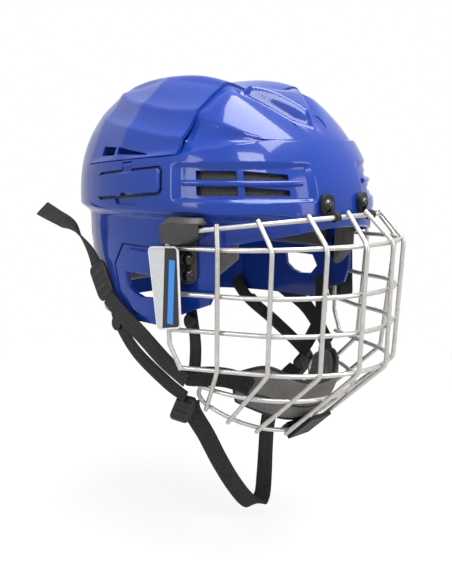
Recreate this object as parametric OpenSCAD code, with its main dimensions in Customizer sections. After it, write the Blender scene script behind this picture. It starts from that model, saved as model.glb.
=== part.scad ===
// Hockey helmet with a wire face cage.
// Frame: origin at the middle of the head opening on the ear line, front is -Y, wearer's left is +X, +Z up.

/* [Shell] */
// Half of the widest width of the shell
shell_half_w = 100; // [95:0.5:105]
// Length from the middle to the forehead
shell_front = 120; // [116:0.5:124]
// Length from the middle to the back of the head
shell_back = 130; // [125:0.5:136]
// Height of the crown above the ear line
crown_z = 172; // [166:0.5:178]
// Height of the widest level, where the band steps in to the ear sides
band_z = 72; // [70:0.5:74]
// Depth of the lower rim below the ear line
rim_drop = 12; // [9:0.5:14]
// Wall of the front and rear shells
shell_wall = 2.6; // [2.2:0.1:3.2]
// Step from the band in to the ear sides
ear_step = 6.5; // [5:0.5:8]
// Height of the two crown lobes
lobe_h = 7; // [4:0.5:9]
// Depth of the valley between the lobes
valley_h = 6; // [4:0.5:7]
// Height of the middle fin of the front shell
fin_h = 8; // [6:0.5:9]
// Depth of the channel along each side of the fin
channel_h = 4; // [2:0.5:5]
// Depth of the hollow skirt under the front of the lobes
skirt_h = 3.6; // [2.6:0.1:4.2]
// Depth to which the side panels of the rear shell are flattened between creases
panel_h = 2; // [0.5:0.1:2.4]
// Inset of the dome above the ledge
ledge_in = 2.5; // [1.5:0.1:3.5]
// Depth of the side vent recess
vent_depth = 2.5; // [1:0.1:3.5]
// Height of a side vent slot
vent_slot_h = 6.5; // [4:0.5:8]
// Gap between the edges of the two shells
shell_gap = 0.6; // [0.4:0.1:1]
// Travel of the rear shell when the size is set
size_travel = 10; // [6:1:12]

/* [Ear guard and latch] */
// Height of the raised ear guard above the shell
ear_guard_t = 2.4; // [1.6:0.1:3.2]
// Height of the latch plate
latch_h = 17; // [14:0.5:20]
// Thickness of the latch plate
latch_t = 2.5; // [2:0.1:3]
// Diameter of the latch hinge pin
latch_pin_d = 2.4; // [2:0.1:3]
// Length of the latch hinge barrel
latch_barrel_l = 10; // [8:1:16]
// Running clearance of the latch hinge and its peg
latch_gap = 0.3; // [0.2:0.05:0.5]
// Diameter of the latch peg that runs in the slot of the rear shell's tongue
peg_d = 4.4; // [3.6:0.2:5]

/* [Cage] */
// Diameter of the cage wire
wire_d = 3.4; // [3:0.1:3.8]
// Depth by which crossing wires sink into each other at a weld
weld_bite = 0.5; // [0.3:0.05:0.8]
// Bend radius of the upright wires
wire_bend = 9; // [6:0.5:12]
// Distance of the cage's side frame inside the widest width of the shell
cage_in = 2.5; // [1:0.25:4]
// Thickness of the side plates
plate_t = 1.2; // [0.8:0.1:1.6]
// Thickness of the foil on a side plate
foil_t = 0.3; // [0.2:0.05:0.5]

/* [Clips and screws] */
// Distance of a forehead clip from the middle
clip_x = 20.2; // [18:0.2:23]
// Width of a forehead clip
clip_w = 11.5; // [10.5:0.5:13]
// Play of the cage wire in a forehead clip
clip_play = 0.85; // [0.8:0.05:1]
// Diameter of a dome screw head on a side clip
screw_head_d = 9.5; // [8:0.5:10.5]
// Diameter of a dome screw head on a forehead clip
clip_head_d = 8.4; // [7:0.2:8.8]
// Diameter of a screw shank
screw_d = 4; // [3:0.25:5]
// Clearance of a screw shank in its holes
screw_gap = 0.3; // [0.2:0.05:0.5]
// Thickness of a side clip arm
arm_t = 2.2; // [1.8:0.1:2.6]

/* [Padding] */
// Thickness of the foam pads
pad_t = 10; // [7:0.5:13]
// Wall of the chin cup
cup_wall = 2.5; // [2:0.1:3.5]
// Thickness of the chin pad
chin_pad_t = 6; // [4:0.5:8]

/* [Straps] */
// Width of the cage straps
strap_w = 15; // [12:0.5:17]
// Width of the chin strap
chin_strap_w = 14; // [11:0.5:16]
// Thickness of the webbing
strap_t = 1.6; // [1.2:0.1:2]

/* [Hidden] */
$fn = 48;

shell_blue = [0.10, 0.18, 0.62];
foam_grey = [0.30, 0.30, 0.31];
hard_black = [0.07, 0.07, 0.08];
wire_silver = [0.80, 0.79, 0.76];
web_black = [0.10, 0.10, 0.11];

// Exponents of the plan outline and of the dome over the front, the side and the back
plan_n = 2.3;
front_n = 2.15;
side_n = 2.3;
back_n = 2.45;
crown_back = 12;
lobe_x = 46;
lobe_w = 20;
dome_h = crown_z - band_z;
cage_half_w = shell_half_w - cage_in;

// Ledge under the dome: height over the ears, fall per length to the back, extra rise at the front
ledge_mid = 109.5;
ledge_fall = 0.076;
ledge_rise = 0.11;
seam_y = -36;
tuck_in = 7;
tuck_ramp = 7;
tuck_lead = 4;
tuck_l = 30;
fin_half = 28;
fin_taper = 0.72;
fin_tip = -92;
fold_y = 20;
seam_lap = 3;
rear_seam = 62;
// The rear shell laps over the front shell above the ledge and lies flush with the band below it
rear_in = -0.2;
ledge_run = 0.8;
tongue_x = shell_half_w - 14.4;
tongue_t = 2;
vent_mid = 94;
vent_bar = 4.5;
vent_front = 24;
vent_rear = 63;
vent_post = 44.7;

// Face opening of the front shell, as an outline in Y and Z
brow_z = 70;
face_outline = [
  [-180, brow_z + 6], [-124, brow_z + 2], [-116, brow_z - 3], [-102, brow_z - 11], [-84, brow_z - 19],
  [-70, brow_z - 23.5], [-68, 40], [-68, 20], [-62, 7], [-42, -1], [-22, -11], [-20, -40], [-180, -40]];
// Ear guard and ear hole, as outlines in Y and Z
ear_outline = [[18, 46], [31, 29], [25, 4], [-1, -10], [-18, -10], [-40, 1], [-41, 30], [-32, 46]];
ear_hole = [[14, 25], [12, 15], [5, 10], [-4, 7.5], [-17, 8.5], [-24, 16], [-18, 25]];

function clamp01(v) = min(1, max(0, v));
function ease(v) = let (c = clamp01(v)) c * c * (3 - 2 * c);
function window(v, a, b, e) = ease((v - a) / e) * ease((b - v) / e);
function spow(v, e) = sign(v) * pow(abs(v), e);
function unit(v) = v / norm(v);
function mix(a, b, t) = a + (b - a) * t;
function hollow(v, a, b) = let (t = clamp01((v - a) / (b - a))) 4 * t * (1 - t);
function half_turn(phi) = phi > 180 ? phi - 360 : phi;

function ledge_z(y) = ledge_mid - ledge_fall * y + ledge_rise * max(0, seam_y - y);

// Point of the helmet surface at bearing phi (0 front, 90 left) and level z, moved out by o.
// tuck draws the front shell in under the rear shell, whose flat panels run out on the front shell.
function skin(phi, z, o = 0, tuck = 0, rear = 0) =
  let (
    s = sin(phi),
    c = cos(phi),
    px = spow(s, 2 / plan_n),
    py = -spow(c, 2 / plan_n),
    reach = c > 0 ? shell_front : shell_back,
    n = side_n + ((c > 0 ? front_n : back_n) - side_n) * c * c,
    up = clamp01((z - band_z) / dome_h),
    down = max(0, (band_z - z) / (band_z + rim_drop)),
    w = pow(1 - pow(up, n), 1 / n),
    side = ease((abs(half_turn(phi)) - 20) / 25),
    lower = 1 - ear_step / shell_half_w * side * ease((band_z + 2 - z) / 8)
      - (0.03 + 0.09 * pow(max(0, py), 1.5)) * down * down,
    x = shell_half_w * w * lower * px,
    y = reach * w * lower * py + crown_back * pow(up, 1.5),
    wall_dir = pow(w, n - 1),
    out = unit([
      wall_dir * spow(px, plan_n - 1) / shell_half_w,
      wall_dir * spow(py, plan_n - 1) / reach,
      pow(up, n - 1) / dome_h]),
    lobe = exp(-pow((abs(x) - lobe_x) / lobe_w, 2)) * clamp01((y + 100) / 45)
      * clamp01((125 - y) / 60) * clamp01(1.5 * up - 0.3),
    wide = abs(x),
    fin_edge = min(fin_half, max(0, fin_taper * (y - fin_tip))),
    fin = ease((fin_edge - wide) / 4 + 0.5) * ease((up - 0.4) / 0.15) * ease((seam_y - 9 - y) / 5)
      * (0.45 + 0.55 * ease((seam_y - 5 - y) / 20)) * ease((y - fin_tip + 4) / 10),
    channel = (1 - rear) * exp(-pow((wide - fin_edge - 7) / 5, 2)) * ease((seam_y - 6 - y) / 10)
      * ease((y - fin_tip + 6) / 16) * ease((up - 0.35) / 0.15),
    valley = exp(-pow(wide / 24, 2)) * ease((up - 0.55) / 0.25) * ease((y + 68) / 22) * ease((85 - y) / 30),
    ledge = ledge_z(y),
    above = z - ledge,
    recess = window(abs(half_turn(phi)), 12, 73, 4) * window(z, vent_mid - 14, vent_mid + 14, 3.5),
    ahead = clamp01((seam_y - y) / 52),
    skirt = (1 - rear) * hollow(z, ledge + 1, 143 - 19 * ahead) * (skirt_h - 2.6 * ahead)
      * ease((seam_y - y) / 6) * ease((wide - 8) / 14),
    crease_low = 130 + 0.14 * y,
    crease_high = 147.5 + 0.112 * y,
    outer = ease((wide - lobe_x + 8) / 10),
    panels = max(rear, ease((y - seam_y + 16) / 13)) * panel_h * ease(above / 5) * ease((95 - y) / 30)
      * (0.6 * hollow(z, ledge, crease_low) + hollow(z, crease_low, crease_high)
        + outer * (1.27 * hollow(z, crease_high, 167) + hollow(y, seam_y - seam_lap, fold_y)
          + 0.67 * hollow(y, fold_y, rear_seam + 2))),
    step = ease(above / ledge_run + 0.25),
    dent = ledge_in * max(step, rear) + vent_depth * recess + skirt + panels
      + channel_h * channel + valley_h * valley
      + tuck * tuck_in * ease((y - seam_y + seam_lap + tuck_lead) / tuck_ramp) * step)
  [x, y, z + lobe_h * lobe + fin_h * fin] + out * (o - dent);

// Plan direction of the surface at bearing phi
function skin_turn(phi) =
  let (px = spow(sin(phi), 2 / plan_n), py = -spow(cos(phi), 2 / plan_n))
  atan2(spow(py, plan_n - 1) / (cos(phi) > 0 ? shell_front : shell_back), spow(px, plan_n - 1) / shell_half_w);

// Closed solid between an outer and an inner grid of points
module slab(outer, inner) {
  rows = len(outer) - 1;
  cols = len(outer[0]) - 1;
  nj = cols + 1;
  side = nj * (rows + 1);
  pts = concat([for (r = outer) each r], [for (r = inner) each r]);
  faces = concat(
    [for (i = [0 : rows - 1]) for (j = [0 : cols - 1])
      let (a = i * nj + j, b = a + nj)
      each concat(cell(a, a + 1, b, b + 1), cell(side + b, side + b + 1, side + a, side + a + 1))],
    [for (j = [0 : cols - 1])
      let (t = rows * nj + j)
      each concat(cell(side + j, side + j + 1, j, j + 1), cell(t, t + 1, side + t, side + t + 1))],
    [for (i = [0 : rows - 1])
      let (a = i * nj, e = a + cols)
      each concat(cell(side + a, a, side + a + nj, a + nj), cell(e, side + e, e + nj, side + e + nj))]);
  polyhedron(pts, faces, convexity = 8);
}

// Two triangles of the cell between a lower and an upper pair of points, seen from outside
function cell(a0, a1, b0, b1) = [[a0, b0, b1], [a0, b1, a1]];

// Ledge level at bearing phi, and a level that follows the ledge when it is near it
function ledge_at(phi) =
  ledge_z(crown_back / 4 - 0.953 * (cos(phi) > 0 ? shell_front : shell_back) * spow(cos(phi), 2 / plan_n));
function follow(phi, z) = z + (ledge_at(phi) - ledge_mid) * exp(-pow((z - ledge_mid) / 22, 2));

// Levels of the shell: few on the ear sides, close together at the band step and at the ledge
low_levels = [for (i = [0 : 4]) mix(-rim_drop, band_z - 6, i / 4)];
step_levels = [band_z - 3.5, band_z - 1, band_z + 2];
ledge_levels = [for (d = [-3, -0.3, 0.7, 3]) ledge_mid + d];
function dome_levels(rows) = [for (i = [1 : rows - 1]) band_z + 2 + (dome_h - 2) * sin(90 * i / rows)];
function shell_levels(rows) = concat(
  low_levels,
  step_levels,
  [for (z = dome_levels(rows)) if (z < ledge_mid - 5) z],
  ledge_levels,
  [for (z = dome_levels(rows)) if (z > ledge_mid + 5) z]);
function sheet(bearings, levels, o, tuck, rear) =
  [for (z = levels) [for (a = bearings) skin(a, follow(a, z), o, tuck, rear)]];

// Open sheet of shell between two offsets, over a span of bearings
module shell_sheet(o_out, o_in, span, cols, rows, tuck) {
  bearings = [for (j = [0 : cols]) mix(-span, span, j / cols)];
  levels = shell_levels(rows);
  slab(sheet(bearings, levels, o_out, tuck, 0), sheet(bearings, levels, o_in, tuck, 0));
}

// Closed dome between two offsets
module dome(o_out, o_in, around, rows) {
  levels = shell_levels(rows);
  bearings = [for (j = [0 : around - 1]) 360 * j / around];
  n = len(levels);
  side = n * around + 1;
  pts = [for (o = [o_out, o_in]) each concat(
    [for (row = sheet(bearings, levels, o, 0, 1)) each row],
    [skin(0, crown_z, o, 0, 1)])];
  walls = [for (i = [0 : n - 2]) for (j = [0 : around - 1])
    let (k = (j + 1) % around, a = i * around, b = a + around)
    each concat(
      cell(a + j, a + k, b + j, b + k),
      cell(side + b + j, side + b + k, side + a + j, side + a + k))];
  caps = [for (j = [0 : around - 1])
    let (k = (j + 1) % around, t = (n - 1) * around)
    each concat(
      [[t + j, side - 1, t + k], [side + t + k, 2 * side - 1, side + t + j]],
      cell(side + j, side + k, j, k))];
  polyhedron(pts, concat(walls, caps), convexity = 8);
}

// Grid of surface points between two bearings; lo and hi give the levels at each end bearing
function skin_grid(phi0, phi1, lo, hi, o, cols, rows) =
  [for (i = [0 : rows]) [for (j = [0 : cols])
    let (t = j / cols)
    skin(mix(phi0, phi1, t), mix(mix(lo[0], lo[1], t), mix(hi[0], hi[1], t), i / rows), o)]];

module skin_patch(phi0, phi1, lo, hi, o_in, o_out, cols, rows) {
  slab(
    skin_grid(phi0, phi1, lo, hi, o_out, cols, rows),
    skin_grid(phi0, phi1, lo, hi, o_in, cols, rows));
}

// Children placed on the surface, local +X along the plan normal
module on_skin(phi, z, o = 0) {
  translate(skin(phi, z, o))
    rotate([0, 0, skin_turn(phi)])
      children();
}

// Children are drawn on the wearer's left and mirrored for the right
module on_side(right) {
  if (right)
    mirror([1, 0, 0])
      children();
  else
    children();
}

// Solid with an outline in Y and Z, from x0 to x1
module side_prism(outline, x0, x1) {
  translate([x0, 0, 0])
    rotate([90, 0, 90])
      linear_extrude(x1 - x0)
        polygon(outline);
}

// Region above the ledge and behind y0, raised by rise
module above_ledge(y0, rise) {
  translate([-200, 0, ledge_mid + rise])
    rotate([-atan(ledge_fall), 0, 0])
      translate([0, y0, 0])
        cube([400, 700, 150]);
}

// Latch: bearings of its front and rear ends, hinge axis and its tilt
latch_front = 77.3;
latch_rear = 105;
latch_mid = (latch_front + latch_rear) / 2;
latch_top = [103.6, 97.1];
latch_lift = 4;
latch_sink = 0.9;
latch_slack = 0.6;
latch_top_gap = 1.2;
pocket_d = latch_sink + latch_gap;
barrel_d = latch_pin_d + 2 * latch_gap + 2.4;
latch_top_mid = (latch_top[0] + latch_top[1]) / 2;
latch_skin = skin(latch_mid, latch_top_mid + latch_lift);
barrel_cover = 0.5;
latch_axis = latch_skin - [barrel_d / 2 + barrel_cover, 0, 0];
latch_ends = skin(latch_rear, latch_top[1]) - skin(latch_front, latch_top[0]);
latch_tilt = atan2(latch_ends[2], latch_ends[1]);
neck_w = latch_barrel_l - 2;
neck_bite = 1;
neck_drop = 1.5;
boss_l = 5;
peg_phi = 96;
peg_drop = 15;
peg_at = [skin(peg_phi, latch_axis[2] - peg_drop)[0], skin(peg_phi, latch_axis[2] - peg_drop)[1],
  latch_axis[2] - peg_drop];
peg_swing = 3.2;
finger_d = 10;
scoop_half = 8;
scoop_h = 6;
scoop_d = 1.4;

module at_latch_axis() {
  translate(latch_axis)
    rotate([latch_tilt, 0, 0])
      children();
}

// Barrel length along the hinge axis
module along_axis(d, l) {
  rotate([90, 0, 0])
    cylinder(d = d, h = l, center = true);
}

// Opening of the wall for the latch: pocket, hinge window and peg slot
module latch_cut() {
  low = [for (z = latch_top) z - latch_h - latch_slack];
  high = [for (z = latch_top) z + latch_top_gap];
  skin_patch(latch_front - latch_slack, latch_rear + latch_slack, low, high, -pocket_d, 6, 8, 3);
  scoop_z = latch_top_mid - latch_h;
  skin_patch(
    latch_mid - scoop_half, latch_mid + scoop_half,
    [scoop_z - scoop_h, scoop_z - scoop_h], [scoop_z, scoop_z],
    -scoop_d, 6, 4, 2);
  at_latch_axis()
    translate([-4, -latch_barrel_l / 2 - latch_slack, -latch_lift - neck_bite - latch_slack])
      cube([12, latch_barrel_l + 2 * latch_slack, latch_lift + neck_bite + barrel_d / 2 + 2 * latch_slack]);
  translate(peg_at - [8, peg_d / 2 + latch_slack, peg_d / 2 + peg_swing + latch_slack])
    cube([12, peg_d + 2 * latch_slack, peg_d + peg_swing + 2 * latch_slack]);
}

// Blocks inside the wall that hold the hinge pin
module latch_bosses() {
  at_latch_axis()
    for (s = [-1, 1])
      translate([0, s * (latch_barrel_l / 2 + latch_gap + boss_l / 2), 0])
        translate([0.4, 0, 0])
          cube([barrel_d + 0.8, boss_l, barrel_d + 2.4], center = true);
}

module latch(right) {
  color(shell_blue)
    on_side(right)
      difference() {
        union() {
          difference() {
            skin_patch(
              latch_front, latch_rear,
              [latch_top[0] - latch_h, latch_top[1] - latch_h], latch_top,
              -latch_sink, latch_t - latch_sink, 8, 3);
            translate(latch_skin - [10, 0, latch_h + latch_lift + 3])
              rotate([0, 90, 0])
                cylinder(d = finger_d, h = 20);
          }
          at_latch_axis() {
            along_axis(barrel_d, latch_barrel_l);
            translate([0, -neck_w / 2, -latch_lift - neck_bite])
              cube([barrel_d / 2 + barrel_cover, neck_w, latch_lift + neck_bite - neck_drop]);
          }
          translate([tongue_x - 0.6, peg_at[1], peg_at[2]])
            rotate([0, 90, 0])
              cylinder(d = peg_d, h = peg_at[0] - tongue_x + 1.2);
        }
        at_latch_axis()
          along_axis(latch_pin_d + 2 * latch_gap, latch_barrel_l + 2);
      }
}

module latch_pin(right) {
  color(wire_silver)
    on_side(right)
      at_latch_axis()
        along_axis(latch_pin_d, latch_barrel_l + 2 * latch_gap + 2 * boss_l);
}

// Slots of one side vent, tapered to the front
module vent_slots() {
  for (row = [-1, 1])
    for (half = [[vent_front, vent_post - 1.4], [vent_post + 1.4, vent_rear]]) {
      base = row > 0 ? vent_mid + vent_bar / 2 : vent_mid - vent_bar / 2 - vent_slot_h;
      drop = half[0] == vent_front ? vent_slot_h * 0.4 : 0;
      skin_patch(
        half[0], half[1], [base, base], [base + vent_slot_h - drop, base + vent_slot_h],
        -9, 9, 5, 1);
    }
}

// Forehead clip and side clip positions on the shell
clip_phi = asin(pow(clip_x / shell_half_w, plan_n / 2));
clip_z = 78;
side_clip_phi = 66.8;
side_screw_z = [40, 28.4];

module screw_hole(phi, z) {
  on_skin(phi, z)
    rotate([0, 90, 0])
      cylinder(d = screw_d + 2 * screw_gap, h = 40, center = true, $fn = 16);
}

front_span = 132;
module front_shell() {
  color(shell_blue)
    difference() {
      union() {
        shell_sheet(0, -shell_wall, front_span, 44, 17, 1);
        for (right = [false, true])
          on_side(right) {
            latch_bosses();
            skin_patch(
              vent_front - 5, vent_rear + 5, [vent_mid - vent_bar / 2, vent_mid - vent_bar / 2],
              [vent_mid + vent_bar / 2, vent_mid + vent_bar / 2], -shell_wall, vent_depth * 0.6, 12, 1);
          }
      }
      side_prism(face_outline, -200, 200);
      above_ledge(seam_y + tuck_l, 7);
      translate([-200, rear_seam, -100])
        cube([400, 200, 400]);
      for (right = [false, true])
        on_side(right) {
          vent_slots();
          skin_patch(9.2, 14.2, [133, 143.2], [135.2, 145.2], -9, 9, 3, 1);
          latch_cut();
          at_latch_axis()
            along_axis(latch_pin_d, latch_barrel_l + 2 * latch_gap + 2 * boss_l);
          side_prism(ear_hole, 50, 150);
          screw_hole(clip_phi, clip_z);
          for (z = side_screw_z)
            screw_hole(side_clip_phi, z);
        }
    }
}

module tongue() {
  difference() {
    translate([tongue_x, peg_at[1] - size_travel - peg_d, peg_at[2] - 8])
      cube([tongue_t, rear_seam + 14 - peg_at[1] + size_travel + peg_d, 12.5]);
    translate([tongue_x - 1, peg_at[1] - size_travel - peg_d / 2 - 0.5, peg_at[2] - peg_d / 2 - 2.2])
      cube([tongue_t + 2, size_travel + peg_d + 1, peg_d + 2.7]);
  }
}

module rear_shell() {
  color(shell_blue)
    difference() {
      union() {
        difference() {
          dome(rear_in + shell_wall, rear_in, 48, 15);
          translate([-200, seam_y - seam_lap - 300, -100])
            cube([400, 300, 400]);
          difference() {
            translate([-200, -200, -100])
              cube([400, 200 + rear_seam + shell_gap, 400]);
            above_ledge(-300, shell_gap);
          }
        }
        for (right = [false, true])
          on_side(right)
            tongue();
      }
      for (right = [false, true])
        on_side(right) {
          skin_patch(85, 97.5, [113.4, 113], [114.5, 119], -9, 9, 4, 1);
          skin_patch(99, 108, [112.6, 112], [119, 119.5], -9, 9, 2, 1);
          skin_patch(128, 136, [46, 50], [57, 50.6], -9, 9, 2, 1);
        }
    }
}

module vent_screens() {
  color(hard_black)
    for (right = [false, true])
      on_side(right)
        skin_patch(
          vent_front - 3, vent_rear + 3, [vent_mid - 11, vent_mid - 11], [vent_mid + 11, vent_mid + 11],
          -shell_wall - 2.2, -shell_wall - 1.4, 9, 3);
}

// Foam pad inside the shell
module pad(phi0, phi1, lo, hi, cols, rows, inset = 0) {
  color(foam_grey)
    skin_patch(phi0, phi1, lo, hi, -shell_wall - 0.5 - inset - pad_t, -shell_wall - 0.5 - inset, cols, rows);
}

module forehead_pad() {
  pad(-38, 38, [brow_z - 9, brow_z - 9], [brow_z + 3, brow_z + 3], 12, 2, inset = 2);
}

module temple_pad(right) {
  on_side(right)
    pad(46, 60, [40, 22], [56, 60], 3, 3);
}

module side_pad(right) {
  on_side(right)
    pad(72, 116, [34, 34], [66, 66], 6, 3);
}

module crown_pad() {
  pad(112, 248, [124, 124], [160, 160], 14, 4, inset = 1);
}

module rear_pad() {
  pad(140, 220, [2, 2], [96, 96], 10, 6, inset = 4);
}

// Raised ear guard, seated on the side of the shell round the ear hole
module ear_guard(right) {
  seat = 0.2;
  color(shell_blue)
    on_side(right)
      difference() {
        intersection() {
          skin_patch(48, 118, [-rim_drop, -rim_drop], [54, 54], seat, seat + ear_guard_t, 12, 6);
          side_prism(ear_outline, 50, 150);
        }
        side_prism(ear_hole, 50, 150);
      }
}

// Dome head and shank along +X, seated at the origin
module dome_screw(grip, head_d) {
  head_h = head_d * 0.26;
  ball = (head_d * head_d / 4 + head_h * head_h) / (2 * head_h);
  rotate([0, 90, 0]) {
    intersection() {
      translate([0, 0, head_h - ball])
        sphere(r = ball);
      cylinder(d = head_d, h = head_h + 1);
    }
    translate([0, 0, -grip])
      cylinder(d = screw_d, h = grip + 0.1);
    translate([0, 0, -grip - 1.6])
      cylinder(d = screw_d + 5, h = 1.6);
  }
}

// The cage: each cross bar is an arc in a tilted plane with a straight leg at each end.
// Entries: height and distance of its front, arc radius, half angle, tilt to the back.
brow_bar = [70.2, -130.4, 87.4, 56.1, -7.7];
top_bar = [51.5, -150, 83.7, 79.9, -2.6];
jaw_bar = [-38.6, -146.4, 70.6, 66.1, -0.6];
chin_low = [-65, -115, 70.5, 80.8, 6.2];
chin_bar = [-97, -80.3, 65.4, 71.4, 30.5];
eye_z = 17.2;
mouth_z = -9.8;
weld = wire_d - weld_bite;
function between(z) = mix(top_bar, jaw_bar, (top_bar[0] - z) / (top_bar[0] - jaw_bar[0]));
cross_bars = [top_bar, between(eye_z), between(mouth_z), jaw_bar];

// Point of a bar at x, y in its own plane, with y measured from its front
function in_plane(b, x, y) = [x, b[1] + y * cos(b[4]), b[0] + y * sin(b[4])];
function arc_len(b) = b[2] * b[3] * PI / 180;
// Point of a bar, and its outward direction, at a length s from its middle
function bar_at(b, s) =
  let (l = arc_len(b), a = min(s / b[2] * 180 / PI, b[3]), t = max(0, s - l))
  in_plane(b, b[2] * sin(a) + t * cos(a), b[2] * (1 - cos(a)) + t * sin(a));
function bar_out(b, s) =
  let (a = min(s / b[2] * 180 / PI, b[3]))
  [sin(a), -cos(a) * cos(b[4]), -cos(a) * sin(b[4])];

// Angles that carry the local axes onto ex, ey and ez
function turn(ex, ey, ez) = [atan2(ey[2], ez[2]), asin(-ex[2]), atan2(ex[1], ex[0])];

// Straight lengths run a little way into the bends, which swell slightly over the wire
bend_lap = 0.2;
bend_swell = 0.04;

module rod(a, b, d) {
  v = b - a;
  translate(a)
    rotate([0, acos(v[2] / norm(v)), atan2(v[1], v[0])])
      cylinder(d = d, h = norm(v));
}

// Bend at p from direction u to direction v
module bend(p, u, v, r, d) {
  a = acos(u * v);
  centre = p + unit(v - u) * r / cos(a / 2);
  n = unit(cross(u, v));
  ex = unit(p - u * r * tan(a / 2) - centre);
  translate(centre)
    rotate(turn(ex, cross(n, ex), n))
      rotate_extrude(angle = a)
        translate([r, 0])
          circle(d = d + bend_swell);
}

function setback(a, p, b, r) = r * tan(acos(unit(p - a) * unit(b - p)) / 2);

module bent_wire(p, r, d) {
  last = len(p) - 1;
  for (i = [0 : last - 1]) {
    u = unit(p[i + 1] - p[i]);
    s = i == 0 ? 0 : setback(p[i - 1], p[i], p[i + 1], r) - bend_lap;
    e = i == last - 1 ? 0 : setback(p[i], p[i + 1], p[i + 2], r) - bend_lap;
    rod(p[i] + u * s, p[i + 1] - u * e, d);
  }
  for (i = [1 : last - 1])
    bend(p[i], unit(p[i] - p[i - 1]), unit(p[i + 1] - p[i]), r, d);
}

module bar_arc(b) {
  translate([0, b[1], b[0]])
    rotate([b[4], 0, 0])
      translate([0, b[2], 0])
        rotate([0, 0, -90 - b[3]])
          rotate_extrude(angle = 2 * b[3])
            translate([b[2], 0])
              circle(d = wire_d + bend_swell);
}

function sided(q, side) = [side * q[0], q[1], q[2]];
// Start of the straight leg of a bar, and the direction of the leg
function leg_dir(b) = bar_at(b, arc_len(b) + 1) - bar_at(b, arc_len(b));
function leg_start(b) = bar_at(b, arc_len(b)) - leg_dir(b) * bend_lap;
// Offset between two wires that cross at a weld, along the direction square to both
function weld_off(u, v) = unit(cross(u, v)) * weld;

// Side frame: it leaves the brow bar, turns down behind the side plate and in to the jaw bar
frame_y = -39;
frame_corner = [cage_half_w, frame_y, 57.5];
frame_knee = [cage_half_w - 1.5, frame_y + 1, -22];
jaw_end = bar_at(jaw_bar, arc_len(jaw_bar) + 67);
function frame_at(z) = mix(frame_corner, frame_knee, (frame_corner[2] - z) / (frame_corner[2] - frame_knee[2]));
frame_leg = leg_dir(brow_bar);
frame_turn = leg_start(brow_bar) + frame_leg * (cage_half_w - leg_start(brow_bar)[0]) / frame_leg[0];
frame_low = unit(jaw_end - frame_knee);
frame_end = jaw_end + weld_off(frame_low, leg_dir(jaw_bar)) - leg_dir(jaw_bar) * weld + frame_low * weld_bite;
frame_path = [leg_start(brow_bar), frame_turn, frame_corner, frame_knee, frame_end];

module cage_frame() {
  color(wire_silver) {
    bar_arc(brow_bar);
    for (side = [-1, 1])
      bent_wire([for (q = frame_path) sided(q, side)], wire_bend, wire_d);
  }
}

// A cross bar flares out after the last upright and butts on the frame
flare_r = 30;
function flare_len(b) = max(4, (75.3 - b[3]) * 5);
function flare_path(b) =
  let (
    knee = bar_at(b, arc_len(b) + flare_len(b)),
    seat = frame_at(knee[2]))
  [leg_start(b), knee, seat - unit(seat - knee) * (wire_d / 2 - weld_bite)];

module cage_cross_bars() {
  color(wire_silver)
    for (b = cross_bars) {
      bar_arc(b);
      for (side = [-1, 1])
        if (b == jaw_bar)
          rod(sided(leg_start(b), side), sided(jaw_end, side), wire_d);
        else
          bent_wire([for (q = flare_path(b)) sided(q, side)], flare_r, wire_d);
    }
}

// The two bars under the chin; the lower one rises at its ends beside the upper one
low_leg_l = 13;
low_end = bar_at(chin_low, arc_len(chin_low) + low_leg_l);
riser_foot = leg_start(chin_bar);
riser_dir = unit(low_end - riser_foot);
riser_side = weld_off(riser_dir, leg_dir(chin_low));
riser_over = 3;
riser_top = low_end - leg_dir(chin_low) * weld + riser_side + riser_dir * riser_over;

module cage_chin_bar() {
  color(wire_silver) {
    bar_arc(chin_low);
    bar_arc(chin_bar);
    for (side = [-1, 1]) {
      rod(sided(leg_start(chin_low), side), sided(low_end, side), wire_d);
      bent_wire(
        [for (q = [riser_foot, riser_foot + leg_dir(chin_bar) * wire_bend * 1.2, riser_top]) sided(q, side)],
        wire_bend, wire_d);
    }
  }
}

// Uprights: distance of each from the middle along the brow, top, jaw and chin bars
upright_s = [
  [10.1, 14.9, 15.6, 14.1],
  [42.4, 45.4, 44.6, 39.3],
  [76.9, 81.3, 79.6, 61.8],
  [105.9, 120.2, 117.2, 81.5]];
bend_slack = 0.7;
upright_over = 2.2;

function upright_path(s, side) =
  let (
    top = bar_at(brow_bar, s[0]) + weld * unit(bar_out(brow_bar, s[0]) + [0, 0, 1]),
    brow = bar_at(top_bar, s[1]) + (weld + bend_slack) * bar_out(top_bar, s[1]),
    jaw = bar_at(jaw_bar, s[2]) + (weld + bend_slack) * bar_out(jaw_bar, s[2]),
    low = bar_at(chin_bar, s[3]) + weld * unit(bar_out(jaw_bar, s[2]) * 0.87 + [0, 0, -1]))
  [for (q = [top + unit(top - brow) * upright_over * 0.6, brow, jaw, low + unit(low - jaw) * upright_over])
    [side * q[0], q[1], q[2]]];

module cage_uprights() {
  color(wire_silver)
    for (side = [-1, 1])
      for (s = upright_s)
        bent_wire(upright_path(s, side), wire_bend, wire_d);
}

// Side plate on the outside of the frame, an outline in Y and Z with round corners
plate_corners = [[-25, 44], [-49, 46], [-51, -4.5], [-33, -8]];
plate_r = 4;
plate_x = cage_half_w + wire_d / 2 + 0.1;

module plate_shape(grow) {
  hull()
    for (c = plate_corners)
      translate(c)
        circle(r = plate_r + grow, $fn = 24);
}

module side_plate(right) {
  color([0.78, 0.79, 0.80])
    on_side(right)
      translate([plate_x, 0, 0])
        rotate([90, 0, 90])
          difference() {
            linear_extrude(plate_t)
              plate_shape(0);
            translate([0, 0, plate_t - foil_t])
              linear_extrude(plate_t)
                plate_shape(-1.2);
          }
}

module plate_foil(right) {
  color([0.55, 0.57, 0.60])
    on_side(right)
      translate([plate_x + plate_t - foil_t, 0, 0])
        rotate([90, 0, 90])
          linear_extrude(foil_t)
            plate_shape(-1.4);
}

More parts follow.
